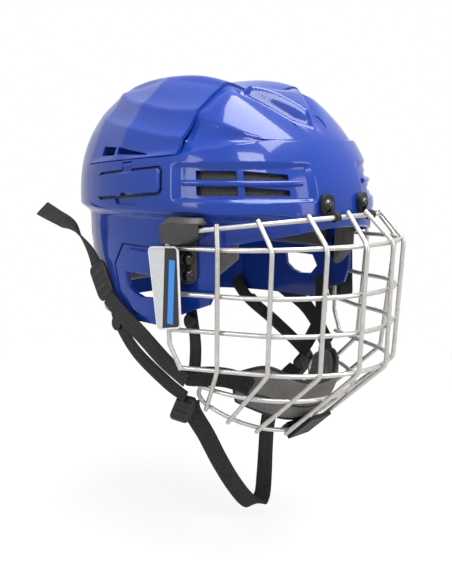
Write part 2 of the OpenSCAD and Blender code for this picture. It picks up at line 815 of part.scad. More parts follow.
// Forehead clip: oval base on the shell and a loop round the brow bar, which is the pivot of the cage
clip_s = asin(clip_x / brow_bar[2]) * PI / 180 * brow_bar[2];
pivot = bar_at(brow_bar, clip_s);
loop_in = wire_d + 2 * clip_play;
loop_out = loop_in + 2;
loop_w = 4.4;
clip_base_t = 3.2;
clip_off = 0.5;

module stadium(w, h) {
  square([w, h - w], center = true);
  for (s = [-1, 1])
    translate([0, s * (h - w) / 2])
      circle(d = w);
}

module forehead_clip(right) {
  color(hard_black)
    on_side(right)
      difference() {
        union() {
          on_skin(clip_phi, clip_z, clip_off)
            rotate([90, 0, 90])
              linear_extrude(clip_base_t)
                stadium(clip_w, clip_w + 4);
          translate(pivot)
            rotate([0, 90, 0])
              cylinder(d = loop_out, h = loop_w, center = true);
          translate([clip_x - loop_w / 2, pivot[1], pivot[2]])
            cube([loop_w, skin(clip_phi, clip_z, clip_off + 1)[1] - pivot[1], loop_out / 2]);
        }
        translate(pivot)
          rotate([0, 90, 0])
            cylinder(d = loop_in, h = clip_w + 10, center = true);
        on_skin(clip_phi, clip_z)
          rotate([0, 90, 0])
            cylinder(d = screw_d + 2 * screw_gap, h = 40, center = true);
      }
}

module forehead_screw(right) {
  color(hard_black)
    on_side(right)
      on_skin(clip_phi, clip_z, clip_off)
        translate([clip_base_t, 0, 0])
          dome_screw(clip_off + clip_base_t + shell_wall + 1, clip_head_d);
}

// Side clip: an arm screwed to the shell, and a hood that holds down the corner of the frame
hood_z = 51.5;
hood_top = 70;
hood_step = 65.5;
arm_off = 0.6;
arm_low = 22;
arm_w = 14;
arm_seat = skin(side_clip_phi, hood_z);

// Children placed on the outer face of the arm at level z, local +X outward
module on_arm(z, o) {
  translate([arm_seat[0], arm_seat[1], z])
    rotate([0, 0, skin_turn(side_clip_phi)])
      translate([o, 0, 0])
        children();
}

hood_low_inner = [[shell_half_w - 19, -67], [shell_half_w - 12.8, -52], [shell_half_w - 8, -34]];
hood_inner = [[shell_half_w - 15.2, -68], [shell_half_w - 11.8, -60], [shell_half_w - 8.8, -52],
  [shell_half_w - 4.6, -34]];
hood_outer = [[cage_half_w + 5, -34], [cage_half_w + 5, -56.6], [cage_half_w + 1.1, -63],
  [cage_half_w - 5.5, -68]];
hood_cavity = [[cage_half_w - 16.5, -76], [cage_half_w - 4.9, -57], [cage_half_w - 2.9, -53],
  [cage_half_w - 2.9, -35.8],
  [cage_half_w + 2.8, -35.8], [cage_half_w + 2.8, -56], [cage_half_w - 1, -62], [cage_half_w - 9.5, -76]];

module side_clip(right) {
  color(hard_black)
    on_side(right)
      difference() {
        union() {
          translate([0, 0, hood_z])
            linear_extrude(hood_step - hood_z + 1)
              polygon(concat(hood_low_inner, hood_outer));
          translate([0, 0, hood_step])
            linear_extrude(hood_top - hood_step)
              polygon(concat(hood_inner, hood_outer));
          on_arm(arm_low, arm_off)
            rotate([90, 0, 90])
              linear_extrude(arm_t) {
                translate([0, arm_w / 2])
                  circle(d = arm_w);
                translate([-arm_w / 2, arm_w / 2])
                  square([arm_w, hood_step - arm_low - arm_w / 2]);
              }
        }
        translate([0, 0, hood_z - 1])
          linear_extrude(hood_step - hood_z + 1)
            polygon(hood_cavity);
        for (z = side_screw_z)
          on_arm(z, 0)
            rotate([0, 90, 0])
              cylinder(d = screw_d + 2 * screw_gap, h = 40, center = true);
      }
}

module side_screws(right) {
  color(hard_black)
    on_side(right)
      for (z = side_screw_z)
        on_arm(z, arm_off + arm_t)
          dome_screw(arm_off + arm_t + shell_wall + 1.6, screw_head_d);
}

// Chin cup: bearing a round the chin, t from the top edge down
cup_side = 82;
cup_mid_y = -50;
cup_half_w = 48;
cup_reach = 52;
function cup_point(a, t, o) =
  let (
    turn_in = pow(t, 2.2),
    top = -56 + 14 * pow(sin(a), 2),
    low = -88 + 15 * pow(sin(a), 2))
  [
    (cup_half_w * (1 - 0.12 * turn_in) + o) * sin(a),
    cup_mid_y - (cup_reach * (1 - 0.4 * turn_in) + o) * cos(a),
    mix(low, top, 1 - t)];
function cup_grid(o, cols, rows) =
  [for (i = [0 : rows]) [for (j = [0 : cols])
    cup_point(mix(-cup_side, cup_side, j / cols), 1 - i / rows, o)]];

module chin_cup() {
  color(foam_grey)
    slab(cup_grid(cup_wall, 16, 5), cup_grid(0, 16, 5));
}

module chin_pad() {
  color(foam_grey)
    slab(cup_grid(-0.3, 16, 5), cup_grid(-0.3 - chin_pad_t, 16, 5));
}

// Rubber tab that ties the cup to the chin bar, in the slope of the lowest wires
tab_w = 24;
tab_l = 30;
tab_t = 3;
tab_lip = 2.4;
tab_gap = 0.6;
tab_play = 1.6;
module chin_tab() {
  slope = atan2(chin_bar[0] - jaw_bar[0], chin_bar[1] - jaw_bar[1]);
  back = -wire_d / 2 - tab_gap;
  low = -wire_d / 2 - tab_play;
  top = wire_d / 2 + tab_gap;
  color(hard_black)
    translate([0, chin_bar[1], chin_bar[0]])
      rotate([slope + 180, 0, 0])
        rotate([90, 0, 90])
          linear_extrude(tab_w, center = true)
            difference() {
              translate([back - tab_lip, low - tab_lip])
                square([tab_l, top - low + tab_lip + tab_t]);
              translate([back, low])
                square([tab_l, top - low]);
              translate([tab_gap - back, low - 2 * tab_lip])
                square([tab_l, 3 * tab_lip]);
            }
}

// Flat webbing along a route: each entry is a point and the direction of its width.
// The route is smoothed through its points.
function smooth(a, b, c, d, t) =
  0.5 * ((2 * b) + (c - a) * t + (2 * a - 5 * b + 4 * c - d) * t * t + (3 * b - a - 3 * c + d) * t * t * t);
function route_at(r, k, i, t) =
  let (n = len(r) - 1)
  smooth(r[max(0, i - 1)][k], r[i][k], r[i + 1][k], r[min(n, i + 2)][k], t);
function route_points(r, k, steps) = concat(
  [for (i = [0 : len(r) - 2]) for (j = [0 : steps - 1]) route_at(r, k, i, j / steps)],
  [r[len(r) - 1][k]]);

module webbing(r, w, t, steps = 4) {
  p = route_points(r, 0, steps);
  d = route_points(r, 1, steps);
  n = len(p) - 1;
  rings = [for (i = [0 : n])
    let (
      along = unit(p[min(n, i + 1)] - p[max(0, i - 1)]),
      wide = unit(d[i] - along * (along * d[i])),
      face = cross(along, wide))
    for (c = [[-1, -1], [1, -1], [1, 1], [-1, 1]])
      p[i] + wide * c[0] * w / 2 + face * c[1] * t / 2];
  polyhedron(
    rings,
    concat(
      [for (i = [0 : n - 1]) for (j = [0 : 3])
        let (k = (j + 1) % 4, a = 4 * i, b = a + 4)
        each [[a + j, b + j, b + k], [a + j, b + k, a + k]]],
      [[0, 1, 2], [0, 2, 3], [4 * n + 2, 4 * n + 1, 4 * n], [4 * n + 3, 4 * n + 2, 4 * n]]),
    convexity = 8);
}

// Routes of the straps on the wearer's left, with X from the widest width of the shell
function beside(r) = [for (q = r) [q[0] + [shell_half_w, 0, 0], q[1]]];
side_width = [0, -0.5, 0.87];
rear_route = [
  [[-8.5, 40, 3], side_width], [[-6, 18, -9], side_width], [[-5.5, -5, -21], side_width],
  [[-9, -24, -36], [0, -0.62, 0.78]], [[-15, -37.5, -48], [0.15, -0.62, 0.78]]];
tail_route = [
  [[-9.5, 54, 25], [0, -0.87, 0.5]], [[-9, 62, 37], [0.3, -0.8, 0.5]], [[-6, 73, 50], [0.7, -0.5, 0.3]],
  [[-3, 84, 58], [0.9, 0.2, -0.2]], [[1, 97, 64], [0.9, 0.3, -0.4]], [[4, 108, 69], [0.8, 0.3, -0.6]]];
front_route = [
  [[-19.5, -36, -50], [0.1, -0.5, 0.85]], [[-23, -45, -49], [0, -0.2, 1]], [[-31, -54, -48.5], [0, 0, 1]],
  [[-40, -63, -50], [0, 0, 1]], [[-48, -71.5, -54], [0, 0, 1]], [[-49.5, -76, -57], [0, 0, 1]]];
rear_leg_route = [
  [[-27, 60, -2], [0.3, -0.4, 0.87]], [[-24, 48, -19], side_width], [[-18, 18, -39], side_width],
  [[-20, -16, -58], [0, -0.6, 0.8]], [[-26, -31, -68], [0, -0.8, 0.6]]];
front_leg_route = [
  [[-24, -38, 10], [0, 1, 0]], [[-25, -40, -6], [0, 1, 0.1]], [[-27, -41, -24], [0, 1, 0.1]],
  [[-32, -35, -43], [0, 1, 0.2]], [[-36, -28, -57], [0, 1, 0.2]]];

module cage_strap_front(right) {
  color(web_black)
    on_side(right)
      webbing(beside(front_route), strap_w, strap_t);
}

module cage_strap_rear(right) {
  color(web_black)
    on_side(right) {
      webbing(beside(rear_route), strap_w, strap_t);
      webbing(beside(tail_route), strap_w - 1, strap_t);
    }
}

module rear_leg(right) {
  color(web_black)
    on_side(right)
      webbing(beside(rear_leg_route), chin_strap_w - 2, strap_t);
}

module front_leg(right) {
  color(web_black)
    on_side(right)
      webbing(beside(front_leg_route), chin_strap_w - 2, strap_t);
}

// Chin strap: it hangs in a loop under the chin from the wearer's right to the left
chin_face = [0.62, -0.47, 0.63];
chin_route = [
  [[33 - shell_half_w, -29, -74], chin_face], [[36 - shell_half_w, -28, -83], chin_face],
  [[-50, -28, -104], chin_face], [[-36, -28, -128], chin_face], [[-20, -28, -152], chin_face],
  [[-4, -28, -171], [0.7, -0.45, 0.5]], [[8, -28, -178], [0.7, -0.6, 0.2]],
  [[16.5, -27, -173], [0.8, -0.5, 0]],
  [[20, -26, -156], [0.85, -0.4, 0]], [[22.5, -25, -135], [0.9, -0.3, 0]], [[26, -24, -113], [0.9, -0.3, 0]],
  [[34, -24, -92], [0.8, -0.4, 0]], [[46, -26, -77], [0.6, -0.7, 0]], [[57, -28, -68], [0.3, -0.9, 0]]];

module chin_strap() {
  color(web_black)
    webbing(chin_route, chin_strap_w, strap_t, 3);
}

// Frame buckle with two slots, length along +Y, thickness along +Z
module frame_buckle(l, w, t, slot) {
  linear_extrude(t, center = true)
    difference() {
      square([w, l], center = true);
      for (s = [-1, 1])
        translate([0, s * l / 5])
          square([w - 5, slot], center = true);
    }
}

module strap_buckle(right) {
  color(hard_black)
    on_side(right)
      translate([shell_half_w - 9, 47.3, 14.5])
        rotate([60, 0, 0])
          rotate([0, 90, 0])
            frame_buckle(26, strap_w + 5, 4, 3);
}

module slide_buckle() {
  color(hard_black)
    translate([25 - shell_half_w, -29, -77])
      rotate([0, -58, 0])
        rotate([0, 0, 90])
          frame_buckle(20, chin_strap_w + 6, 3, 3);
}

module strap_snaps() {
  color(hard_black)
    for (right = [false, true])
      on_side(right)
        for (q = [[shell_half_w - 22.6, 44.5, -21.5], [shell_half_w - 24.1, -40.2, -8]])
          translate(q)
            rotate([0, 90, 0])
              cylinder(d = 11, h = 3);
}

front_shell();
rear_shell();
vent_screens();
forehead_pad();
temple_pad(true);  // temple_pad_right
temple_pad(false);  // temple_pad_left
side_pad(true);  // side_pad_right
side_pad(false);  // side_pad_left
crown_pad();
rear_pad();
ear_guard(true);  // ear_guard_right
ear_guard(false);  // ear_guard_left
latch(true);  // latch_right
latch(false);  // latch_left
latch_pin(true);  // latch_pin_right
latch_pin(false);  // latch_pin_left
forehead_clip(true);  // forehead_clip_right
forehead_clip(false);  // forehead_clip_left
forehead_screw(true);  // forehead_screw_right
forehead_screw(false);  // forehead_screw_left
side_clip(true);  // side_clip_right
side_clip(false);  // side_clip_left
side_screws(true);  // side_screws_right
side_screws(false);  // side_screws_left
cage_frame();
cage_cross_bars();
cage_chin_bar();
cage_uprights();
side_plate(true);  // side_plate_right
side_plate(false);  // side_plate_left
plate_foil(true);  // plate_foil_right
plate_foil(false);  // plate_foil_left
chin_cup();
chin_pad();
chin_tab();
cage_strap_front(true);  // cage_strap_front_right
cage_strap_front(false);  // cage_strap_front_left
cage_strap_rear(true);  // cage_strap_rear_right
cage_strap_rear(false);  // cage_strap_rear_left
strap_buckle(true);  // strap_buckle_right
strap_buckle(false);  // strap_buckle_left
rear_leg(true);  // rear_leg_right
rear_leg(false);  // rear_leg_left
front_leg(true);  // front_leg_right
front_leg(false);  // front_leg_left
strap_snaps();
chin_strap();
slide_buckle();
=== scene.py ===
import math

import bmesh
import bpy
import numpy as np
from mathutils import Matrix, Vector


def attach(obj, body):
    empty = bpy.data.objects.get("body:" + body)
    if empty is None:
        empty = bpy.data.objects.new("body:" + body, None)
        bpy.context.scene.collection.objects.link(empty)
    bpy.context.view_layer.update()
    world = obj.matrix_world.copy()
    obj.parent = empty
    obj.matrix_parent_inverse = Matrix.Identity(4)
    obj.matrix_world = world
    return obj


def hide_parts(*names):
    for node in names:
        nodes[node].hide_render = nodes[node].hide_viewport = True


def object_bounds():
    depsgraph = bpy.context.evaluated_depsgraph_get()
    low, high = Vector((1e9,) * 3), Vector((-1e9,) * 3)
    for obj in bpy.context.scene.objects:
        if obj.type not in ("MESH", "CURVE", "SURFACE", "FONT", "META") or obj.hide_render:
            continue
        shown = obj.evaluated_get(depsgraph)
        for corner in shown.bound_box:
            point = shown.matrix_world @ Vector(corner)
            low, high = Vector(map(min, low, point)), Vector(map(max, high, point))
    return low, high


# Hockey helmet with a wire face cage. The cage's wires, plates, foils and tab, the forehead clips, the snaps
# and the latch pins are the frame's own pieces. The rest is made here, in millimetres until mesh_object and
# hull turn it into metres. The wearer's left is +X, the front is -Y and +Z is up. A bearing is 0 at the
# front, 90 on the left and 180 at the back, in degrees.

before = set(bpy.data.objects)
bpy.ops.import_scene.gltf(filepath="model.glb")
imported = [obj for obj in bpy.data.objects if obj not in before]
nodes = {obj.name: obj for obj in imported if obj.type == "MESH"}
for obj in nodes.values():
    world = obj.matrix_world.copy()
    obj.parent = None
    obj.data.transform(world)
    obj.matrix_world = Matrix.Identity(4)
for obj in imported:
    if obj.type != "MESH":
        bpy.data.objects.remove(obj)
cad_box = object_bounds()
scene = bpy.context.scene
MM = 0.001
UP = np.array([0.0, 0.0, 1.0])


def link(name, data):
    ob = bpy.data.objects.new(name, data)
    scene.collection.objects.link(ob)
    return ob


def aim(ob, place, target=(0, 0, 0)):
    ob.location = place
    ob.rotation_euler = (Vector(target) - Vector(place)).to_track_quat("-Z", "Y").to_euler()


# Camera, fitted to the photo, in metres
cam_az, cam_el, cam_dist = math.radians(45.0), math.radians(9.501), 0.720
cam_level = cam_dist * math.cos(cam_el)
cam = link("camera", bpy.data.cameras.new("camera"))
aim(cam, (-cam_level * math.sin(cam_az), -cam_level * math.cos(cam_az), cam_dist * math.sin(cam_el)))
cam.data.sensor_width = 36.0
cam.data.lens = 53.716
cam.data.clip_start = 0.01
scene.camera = cam
scene.view_settings.view_transform = "Standard"


# Helmet surface, the same as in the part's source
shell_half_w, shell_front, shell_back = 100.0, 120.0, 130.0
crown_z, band_z, rim_drop, shell_wall = 172.0, 72.0, 12.0, 2.6
ear_step, lobe_h, fin_h, channel_h, skirt_h, panel_h = 6.5, 7.0, 8.0, 4.0, 3.6, 2.0
valley_h, ledge_in, vent_depth = 6.0, 2.5, 2.5
plan_n, front_n, side_n, back_n, crown_back = 2.3, 2.15, 2.3, 2.45, 12.0
lobe_x, lobe_w = 46.0, 20.0
dome_h = crown_z - band_z
ledge_mid, ledge_fall, ledge_rise, ledge_run, seam_y = 109.5, 0.076, 0.11, 0.8, -36.0
tuck_in, tuck_ramp, tuck_lead, tuck_l, seam_lap, rear_seam = 7.0, 3.0, 0.8, 30.0, 3.0, 62.0
fin_half, fin_taper, fin_tip, fold_y = 28.0, 0.72, -92.0, 20.0
shell_gap, rear_in = 0.6, -0.2
vent_mid, vent_bar, vent_slot_h, vent_front, vent_rear, vent_post = 94.0, 4.5, 6.5, 24.0, 63.0, 44.7
brow_z = 70.0


def ease(v):
    c = np.clip(v, 0, 1)
    return c * c * (3 - 2 * c)


def window(v, a, b, e):
    return ease((v - a) / e) * ease((b - v) / e)


def spow(v, e):
    return np.sign(v) * np.abs(v) ** e


def unit(v):
    return np.asarray(v, float) / np.linalg.norm(v)


def hollow(v, a, b):
    t = np.clip((v - a) / (b - a), 0, 1)
    return 4 * t * (1 - t)


def ledge_z(y):
    return ledge_mid - ledge_fall * y + ledge_rise * np.maximum(0, seam_y - y)


def follow(phi, z):
    """Level z bent so that the grid's rows run along the ledge."""
    c = np.cos(np.radians(phi))
    y = crown_back / 4 - 0.953 * np.where(c > 0, shell_front, shell_back) * spow(c, 2 / plan_n)
    return z + (ledge_z(y) - ledge_mid) * np.exp(-((z - ledge_mid) / 22) ** 2)


def skin(phi, z, o=0.0, tuck=0.0, rear=0.0):
    """Points of the shell at bearing phi and level z, o outside the front shell's face.

    tuck=1 sinks the part of the front shell that runs under the rear one; rear=1 gives the rear shell."""
    phi, z = np.broadcast_arrays(np.asarray(phi, float), np.asarray(z, float))
    r = np.radians(phi)
    s, c = np.sin(r), np.cos(r)
    px, py = spow(s, 2 / plan_n), -spow(c, 2 / plan_n)
    reach = np.where(c > 0, shell_front, shell_back)
    n = side_n + (np.where(c > 0, front_n, back_n) - side_n) * c * c
    up = np.clip((z - band_z) / dome_h, 0, 1)
    down = np.maximum(0, (band_z - z) / (band_z + rim_drop))
    w = (1 - up**n) ** (1 / n)
    turn = np.abs((phi + 180) % 360 - 180)
    side = ease((turn - 20) / 25)
    lower = 1 - ear_step / shell_half_w * side * ease((band_z + 2 - z) / 8) \
        - (0.03 + 0.09 * np.maximum(0, py) ** 1.5) * down * down
    x = shell_half_w * w * lower * px
    y = reach * w * lower * py + crown_back * up**1.5
    wd = w ** (n - 1)
    out = np.array([wd * spow(px, plan_n - 1) / shell_half_w, wd * spow(py, plan_n - 1) / reach,
                    up ** (n - 1) / dome_h])
    out = out / np.linalg.norm(out, axis=0)
    wide = np.abs(x)
    # Raised forms on the crown: two lobes and the fin between them
    lobe = np.exp(-((wide - lobe_x) / lobe_w) ** 2) * np.clip((y + 100) / 45, 0, 1) \
        * np.clip((125 - y) / 60, 0, 1) * np.clip(1.5 * up - 0.3, 0, 1)
    fin_edge = np.clip(fin_taper * (y - fin_tip), 0, fin_half)
    fin = ease((fin_edge - wide) / 6.5 + 0.5) * ease((up - 0.4) / 0.15) * ease((seam_y - 9 - y) / 5) \
        * (0.45 + 0.55 * ease((seam_y - 5 - y) / 20)) * ease((y - fin_tip + 4) / 10)
    # Hollows: channel beside the fin, valley along the crown, vent recess, skirt and rear panels
    channel = (1 - rear) * np.exp(-((wide - fin_edge - 7) / 5) ** 2) * ease((seam_y - 6 - y) / 10) \
        * ease((y - fin_tip + 6) / 16) * ease((up - 0.35) / 0.15)
    valley = np.exp(-(wide / 24) ** 2) * ease((up - 0.55) / 0.25) * ease((y + 68) / 22) * ease((85 - y) / 30)
    ledge = ledge_z(y)
    above = z - ledge
    recess = window(turn, 12, 73, 4) * window(z, vent_mid - 14, vent_mid + 14, 3.5)
    ahead = np.clip((seam_y - y) / 52, 0, 1)
    skirt = (1 - rear) * hollow(z, ledge + 1, 143 - 19 * ahead) * (skirt_h - 2.6 * ahead) \
        * ease((seam_y - y) / 6) * ease((wide - 8) / 14)
    crease_low, crease_high = 130 + 0.14 * y, 147.5 + 0.112 * y
    outer = ease((wide - lobe_x + 8) / 10)
    shown = np.maximum(rear, ease((y - seam_y + 16) / 13)) * panel_h * ease(above / 5) * ease((95 - y) / 30)
    panels = shown * (
        0.6 * hollow(z, ledge, crease_low) + hollow(z, crease_low, crease_high)
        + outer * (1.27 * hollow(z, crease_high, 167) + hollow(y, seam_y - seam_lap, fold_y)
                   + 0.67 * hollow(y, fold_y, rear_seam + 2)))
    step = ease(above / ledge_run + 0.25)
    dent = ledge_in * np.maximum(step, rear) + vent_depth * recess + skirt + panels + channel_h * channel \
        + valley_h * valley + tuck * tuck_in * ease((y - seam_y + seam_lap + tuck_lead) / tuck_ramp) * step
    p = np.array([x, y, z + lobe_h * lobe + fin_h * fin]) + out * (o - dent)
    return np.moveaxis(p, 0, -1)


# Mesh helpers. "c" names a passing object that is joined into another or used up as a cutter.
def discard(ob):
    data = ob.data
    bpy.data.objects.remove(ob)
    bpy.data.meshes.remove(data)


def shade(me, angle):
    me.polygons.foreach_set("use_smooth", [True] * len(me.polygons))
    if angle < 180:
        me.set_sharp_from_angle(angle=math.radians(angle))
    me.update()


def clean(me, merge, sliver, normals=False):
    """Merge points nearer than merge and dissolve faces thinner than sliver, both in metres."""
    bm = bmesh.new()
    bm.from_mesh(me)
    bmesh.ops.remove_doubles(bm, verts=bm.verts, dist=merge)
    bmesh.ops.dissolve_degenerate(bm, edges=bm.edges, dist=sliver)
    if normals:
        bmesh.ops.recalc_face_normals(bm, faces=bm.faces)
    bm.to_mesh(me)
    bm.free()


def mesh_object(name, verts, faces, smooth=35.0, uv=None):
    me = bpy.data.meshes.new(name)
    me.from_pydata((np.asarray(verts, float) * MM).tolist(), [], [tuple(int(i) for i in f) for f in faces])
    if uv is not None:
        layer = me.uv_layers.new(name="UVMap")
        for loop in me.loops:
            layer.data[loop.index].uv = uv[loop.vertex_index]
    clean(me, 2e-6, 1e-7, normals=True)
    shade(me, smooth)
    return link(name, me)


def ring_faces(count, n, closed=False):
    """Quads between count rings of n points; closed=True joins the last ring to the first."""
    faces = []
    for i in range(count if closed else count - 1):
        a, b = i * n, (i + 1) % count * n
        faces += [(a + j, a + (j + 1) % n, b + (j + 1) % n, b + j) for j in range(n)]
    return faces


def loft(name, rings, smooth=35.0, cap_last=True, uv=None):
    """Solid through rings of equally many points, with a flat face on the first and the last ring."""
    count, n = len(rings), len(rings[0])
    faces = ring_faces(count, n) + [tuple(range(n - 1, -1, -1))]
    if cap_last:
        faces.append(tuple((count - 1) * n + j for j in range(n)))
    return mesh_object(name, np.concatenate(rings), faces, smooth, uv)


def slab(name, outer, inner, smooth=35.0):
    """Solid between two grids of points."""
    half = outer.shape[0] * outer.shape[1]
    ids = np.arange(half).reshape(outer.shape[:2])
    quads = np.stack([ids[:-1, :-1], ids[1:, :-1], ids[1:, 1:], ids[:-1, 1:]], -1).reshape(-1, 4)
    faces = [quads, half + quads[:, ::-1]]
    for a, b in ((ids[0, :-1], ids[0, 1:]), (ids[-1, 1:], ids[-1, :-1]), (ids[1:, 0], ids[:-1, 0]),
                 (ids[:-1, -1], ids[1:, -1])):
        faces.append(np.stack([a, b, half + b, half + a], 1))
    verts = np.concatenate([outer.reshape(-1, 3), inner.reshape(-1, 3)])
    return mesh_object(name, verts, np.concatenate(faces), smooth)


def patch(phi0, phi1, lo, hi, t, s):
    """Bearing and level at t along and s up a patch; lo and hi give the levels at its two ends."""
    low, high = (e[0] + (e[1] - e[0]) * t for e in (lo, hi))
    return phi0 + (phi1 - phi0) * t, low + (high - low) * s


def skin_patch(phi0, phi1, lo, hi, o_in, o_out, cols, rows):
    """Slab along the skin over a patch, from o_in to o_out."""
    t, s = np.linspace(0, 1, cols + 1)[None, :], np.linspace(0, 1, rows + 1)[:, None]
    phi, z = patch(phi0, phi1, lo, hi, t, s)
    return slab("c", skin(phi, z, o_out), skin(phi, z, o_in))


def prism(outline, x0=50.0, x1=150.0):
    """Cutter through a side wall, from an outline in Y and Z."""
    return loft("c", [[(x, y, z) for y, z in outline] for x in (x0, x1)])


def box(low, high, place=None):
    c = [(x, y, z) for x in (low[0], high[0]) for y in (low[1], high[1]) for z in (low[2], high[2])]
    if place is not None:
        c = [tuple(place(np.array(p))) for p in c]
    faces = [(0, 1, 3, 2), (4, 6, 7, 5), (0, 4, 5, 1), (2, 3, 7, 6), (0, 2, 6, 4), (1, 5, 7, 3)]
    return mesh_object("c", c, faces)


def tube(name, pts, r, seg=14, closed=False):
    pts = np.asarray(pts, float)
    tang = np.roll(pts, -1, 0) - np.roll(pts, 1, 0)
    if not closed:
        tang[0], tang[-1] = pts[1] - pts[0], pts[-1] - pts[-2]
    tang /= np.linalg.norm(tang, axis=1)[:, None]
    ref = UP if abs(tang[0][2]) < 0.9 else np.array([1.0, 0, 0])
    a = np.linspace(0, 2 * np.pi, seg, endpoint=False)
    rings = []
    for p, t in zip(pts, tang):
        ref = unit(ref - t * (ref @ t))
        rings.append(p + r * (np.cos(a)[:, None] * ref + np.sin(a)[:, None] * np.cross(t, ref)))
    if closed:
        return mesh_object(name, np.concatenate(rings), ring_faces(len(pts), seg, True), 50)
    return loft(name, rings, 50)


def disc(centre, axis, d, length):
    c, half = np.array(centre, float), unit(axis) * length / 2
    return tube("c", [c - half, c + half], d / 2, 48)


def side_bearing(y, z):
    """Bearing at which the skin on the wearer's left passes y at level z."""
    a, b = np.full(np.shape(y), 35.0), np.full(np.shape(y), 140.0)
    for _ in range(24):
        m = (a + b) / 2
        low = skin(m, z)[..., 1] < y
        a, b = np.where(low, m, a), np.where(low, b, m)
    return (a + b) / 2


def directions(centre, *outlines):
    """Angles round a centre: even steps, and one at every corner of the outlines."""
    corners = [math.atan2(q[1] - centre[1], q[0] - centre[0]) for o in outlines for q in o]
    even = np.linspace(-math.pi, math.pi, 180, endpoint=False)
    return np.unique(np.round(np.concatenate([even, corners]), 4))


def reach_to(outline, centre, ang):
    """Distance from centre to a star-shaped outline in each direction."""
    o = np.asarray(outline, float) - np.asarray(centre, float)
    dy, dz = np.cos(ang), np.sin(ang)
    out = np.full(len(ang), 1e9)
    for p, q in zip(o, np.roll(o, -1, 0)):
        e = q - p
        det = dy * e[1] - dz * e[0]
        det = np.where(np.abs(det) < 1e-9, 1e-9, det)
        r, t = (p[0] * e[1] - p[1] * e[0]) / det, (p[0] * dz - p[1] * dy) / det
        out = np.where((r > 0) & (t > -1e-4) & (t < 1 + 1e-4), np.minimum(out, r), out)
    return out


def side_ring(name, centre, ang, r, top, bottom, core=False):
    """Closed ring on the left side, from bottom to top above the skin; core=True when row 0 is one point.

    Each row of r gives the distances from centre (Y and Z) in the directions ang."""
    y, z = centre[0] + r * np.cos(ang), centre[1] + r * np.sin(ang)
    phi = side_bearing(y, z)
    rows, cols = r.shape
    half, last = rows * cols, (rows - 1) * cols
    faces = []
    for j in range(cols):
        k = (j + 1) % cols
        for i in range(0, last, cols):
            quad = (i + j, i + k, i + cols + k, i + cols + j)
            faces += [quad, tuple(half + v for v in quad[::-1])]
        faces.append((last + k, half + last + k, half + last + j, last + j))
        if not core:
            faces.append((j, half + j, half + k, k))
    return mesh_object(name, np.concatenate([skin(phi, z, o).reshape(-1, 3) for o in (top, bottom)]), faces)


def rows_between(r0, r1, n):
    t = (0.5 - 0.5 * np.cos(np.linspace(0, math.pi, n)))[:, None]
    return r0[None, :] + (r1 - r0)[None, :] * t


def cut(ob, cutters, op="DIFFERENCE"):
    """Boolean with each cutter, which is used up. Slivers that the cuts leave are merged away."""
    for c in cutters:
        m = ob.modifiers.new("cut", "BOOLEAN")
        m.operation, m.object, m.solver = op, c, "MANIFOLD"
    dg = bpy.context.evaluated_depsgraph_get()
    me = bpy.data.meshes.new_from_object(ob.evaluated_get(dg))
    ob.modifiers.clear()
    old, ob.data = ob.data, me
    bpy.data.meshes.remove(old)
    for c in cutters:
        discard(c)
    clean(me, 4e-5, 2e-5)
    shade(me, 30)
    return ob


def mirrored(ob, name="c"):
    me = ob.data.copy()
    co = np.empty(len(me.vertices) * 3)
    me.vertices.foreach_get("co", co)
    co[0::3] *= -1
    me.vertices.foreach_set("co", co)
    me.flip_normals()
    me.update()
    return link(name, me)


def join(name, parts, smooth=None):
    me = bpy.data.meshes.new(name)
    bm = bmesh.new()
    for p in parts:
        bm.from_mesh(p.data)
    bm.to_mesh(me)
    bm.free()
    for p in parts:
        discard(p)
    if smooth:
        shade(me, smooth)
    return link(name, me)


def soften(ob, width, angle):
    edge = ob.modifiers.new("edges", "BEVEL")
    edge.width, edge.segments = width * MM, 3
    edge.limit_method, edge.angle_limit = "ANGLE", math.radians(angle)


# Materials
def add_node(tree, kind, ins=None, **props):
    """Outputs of a new node; ins gives each input a value or the output that feeds it."""
    n = tree.nodes.new("ShaderNode" + kind)
    for k, v in props.items():
        setattr(n, k, v)
    for k, v in (ins or {}).items():
        if isinstance(v, bpy.types.NodeSocket):
            tree.links.new(v, n.inputs[k])
        else:
            n.inputs[k].default_value = v
    return n.outputs


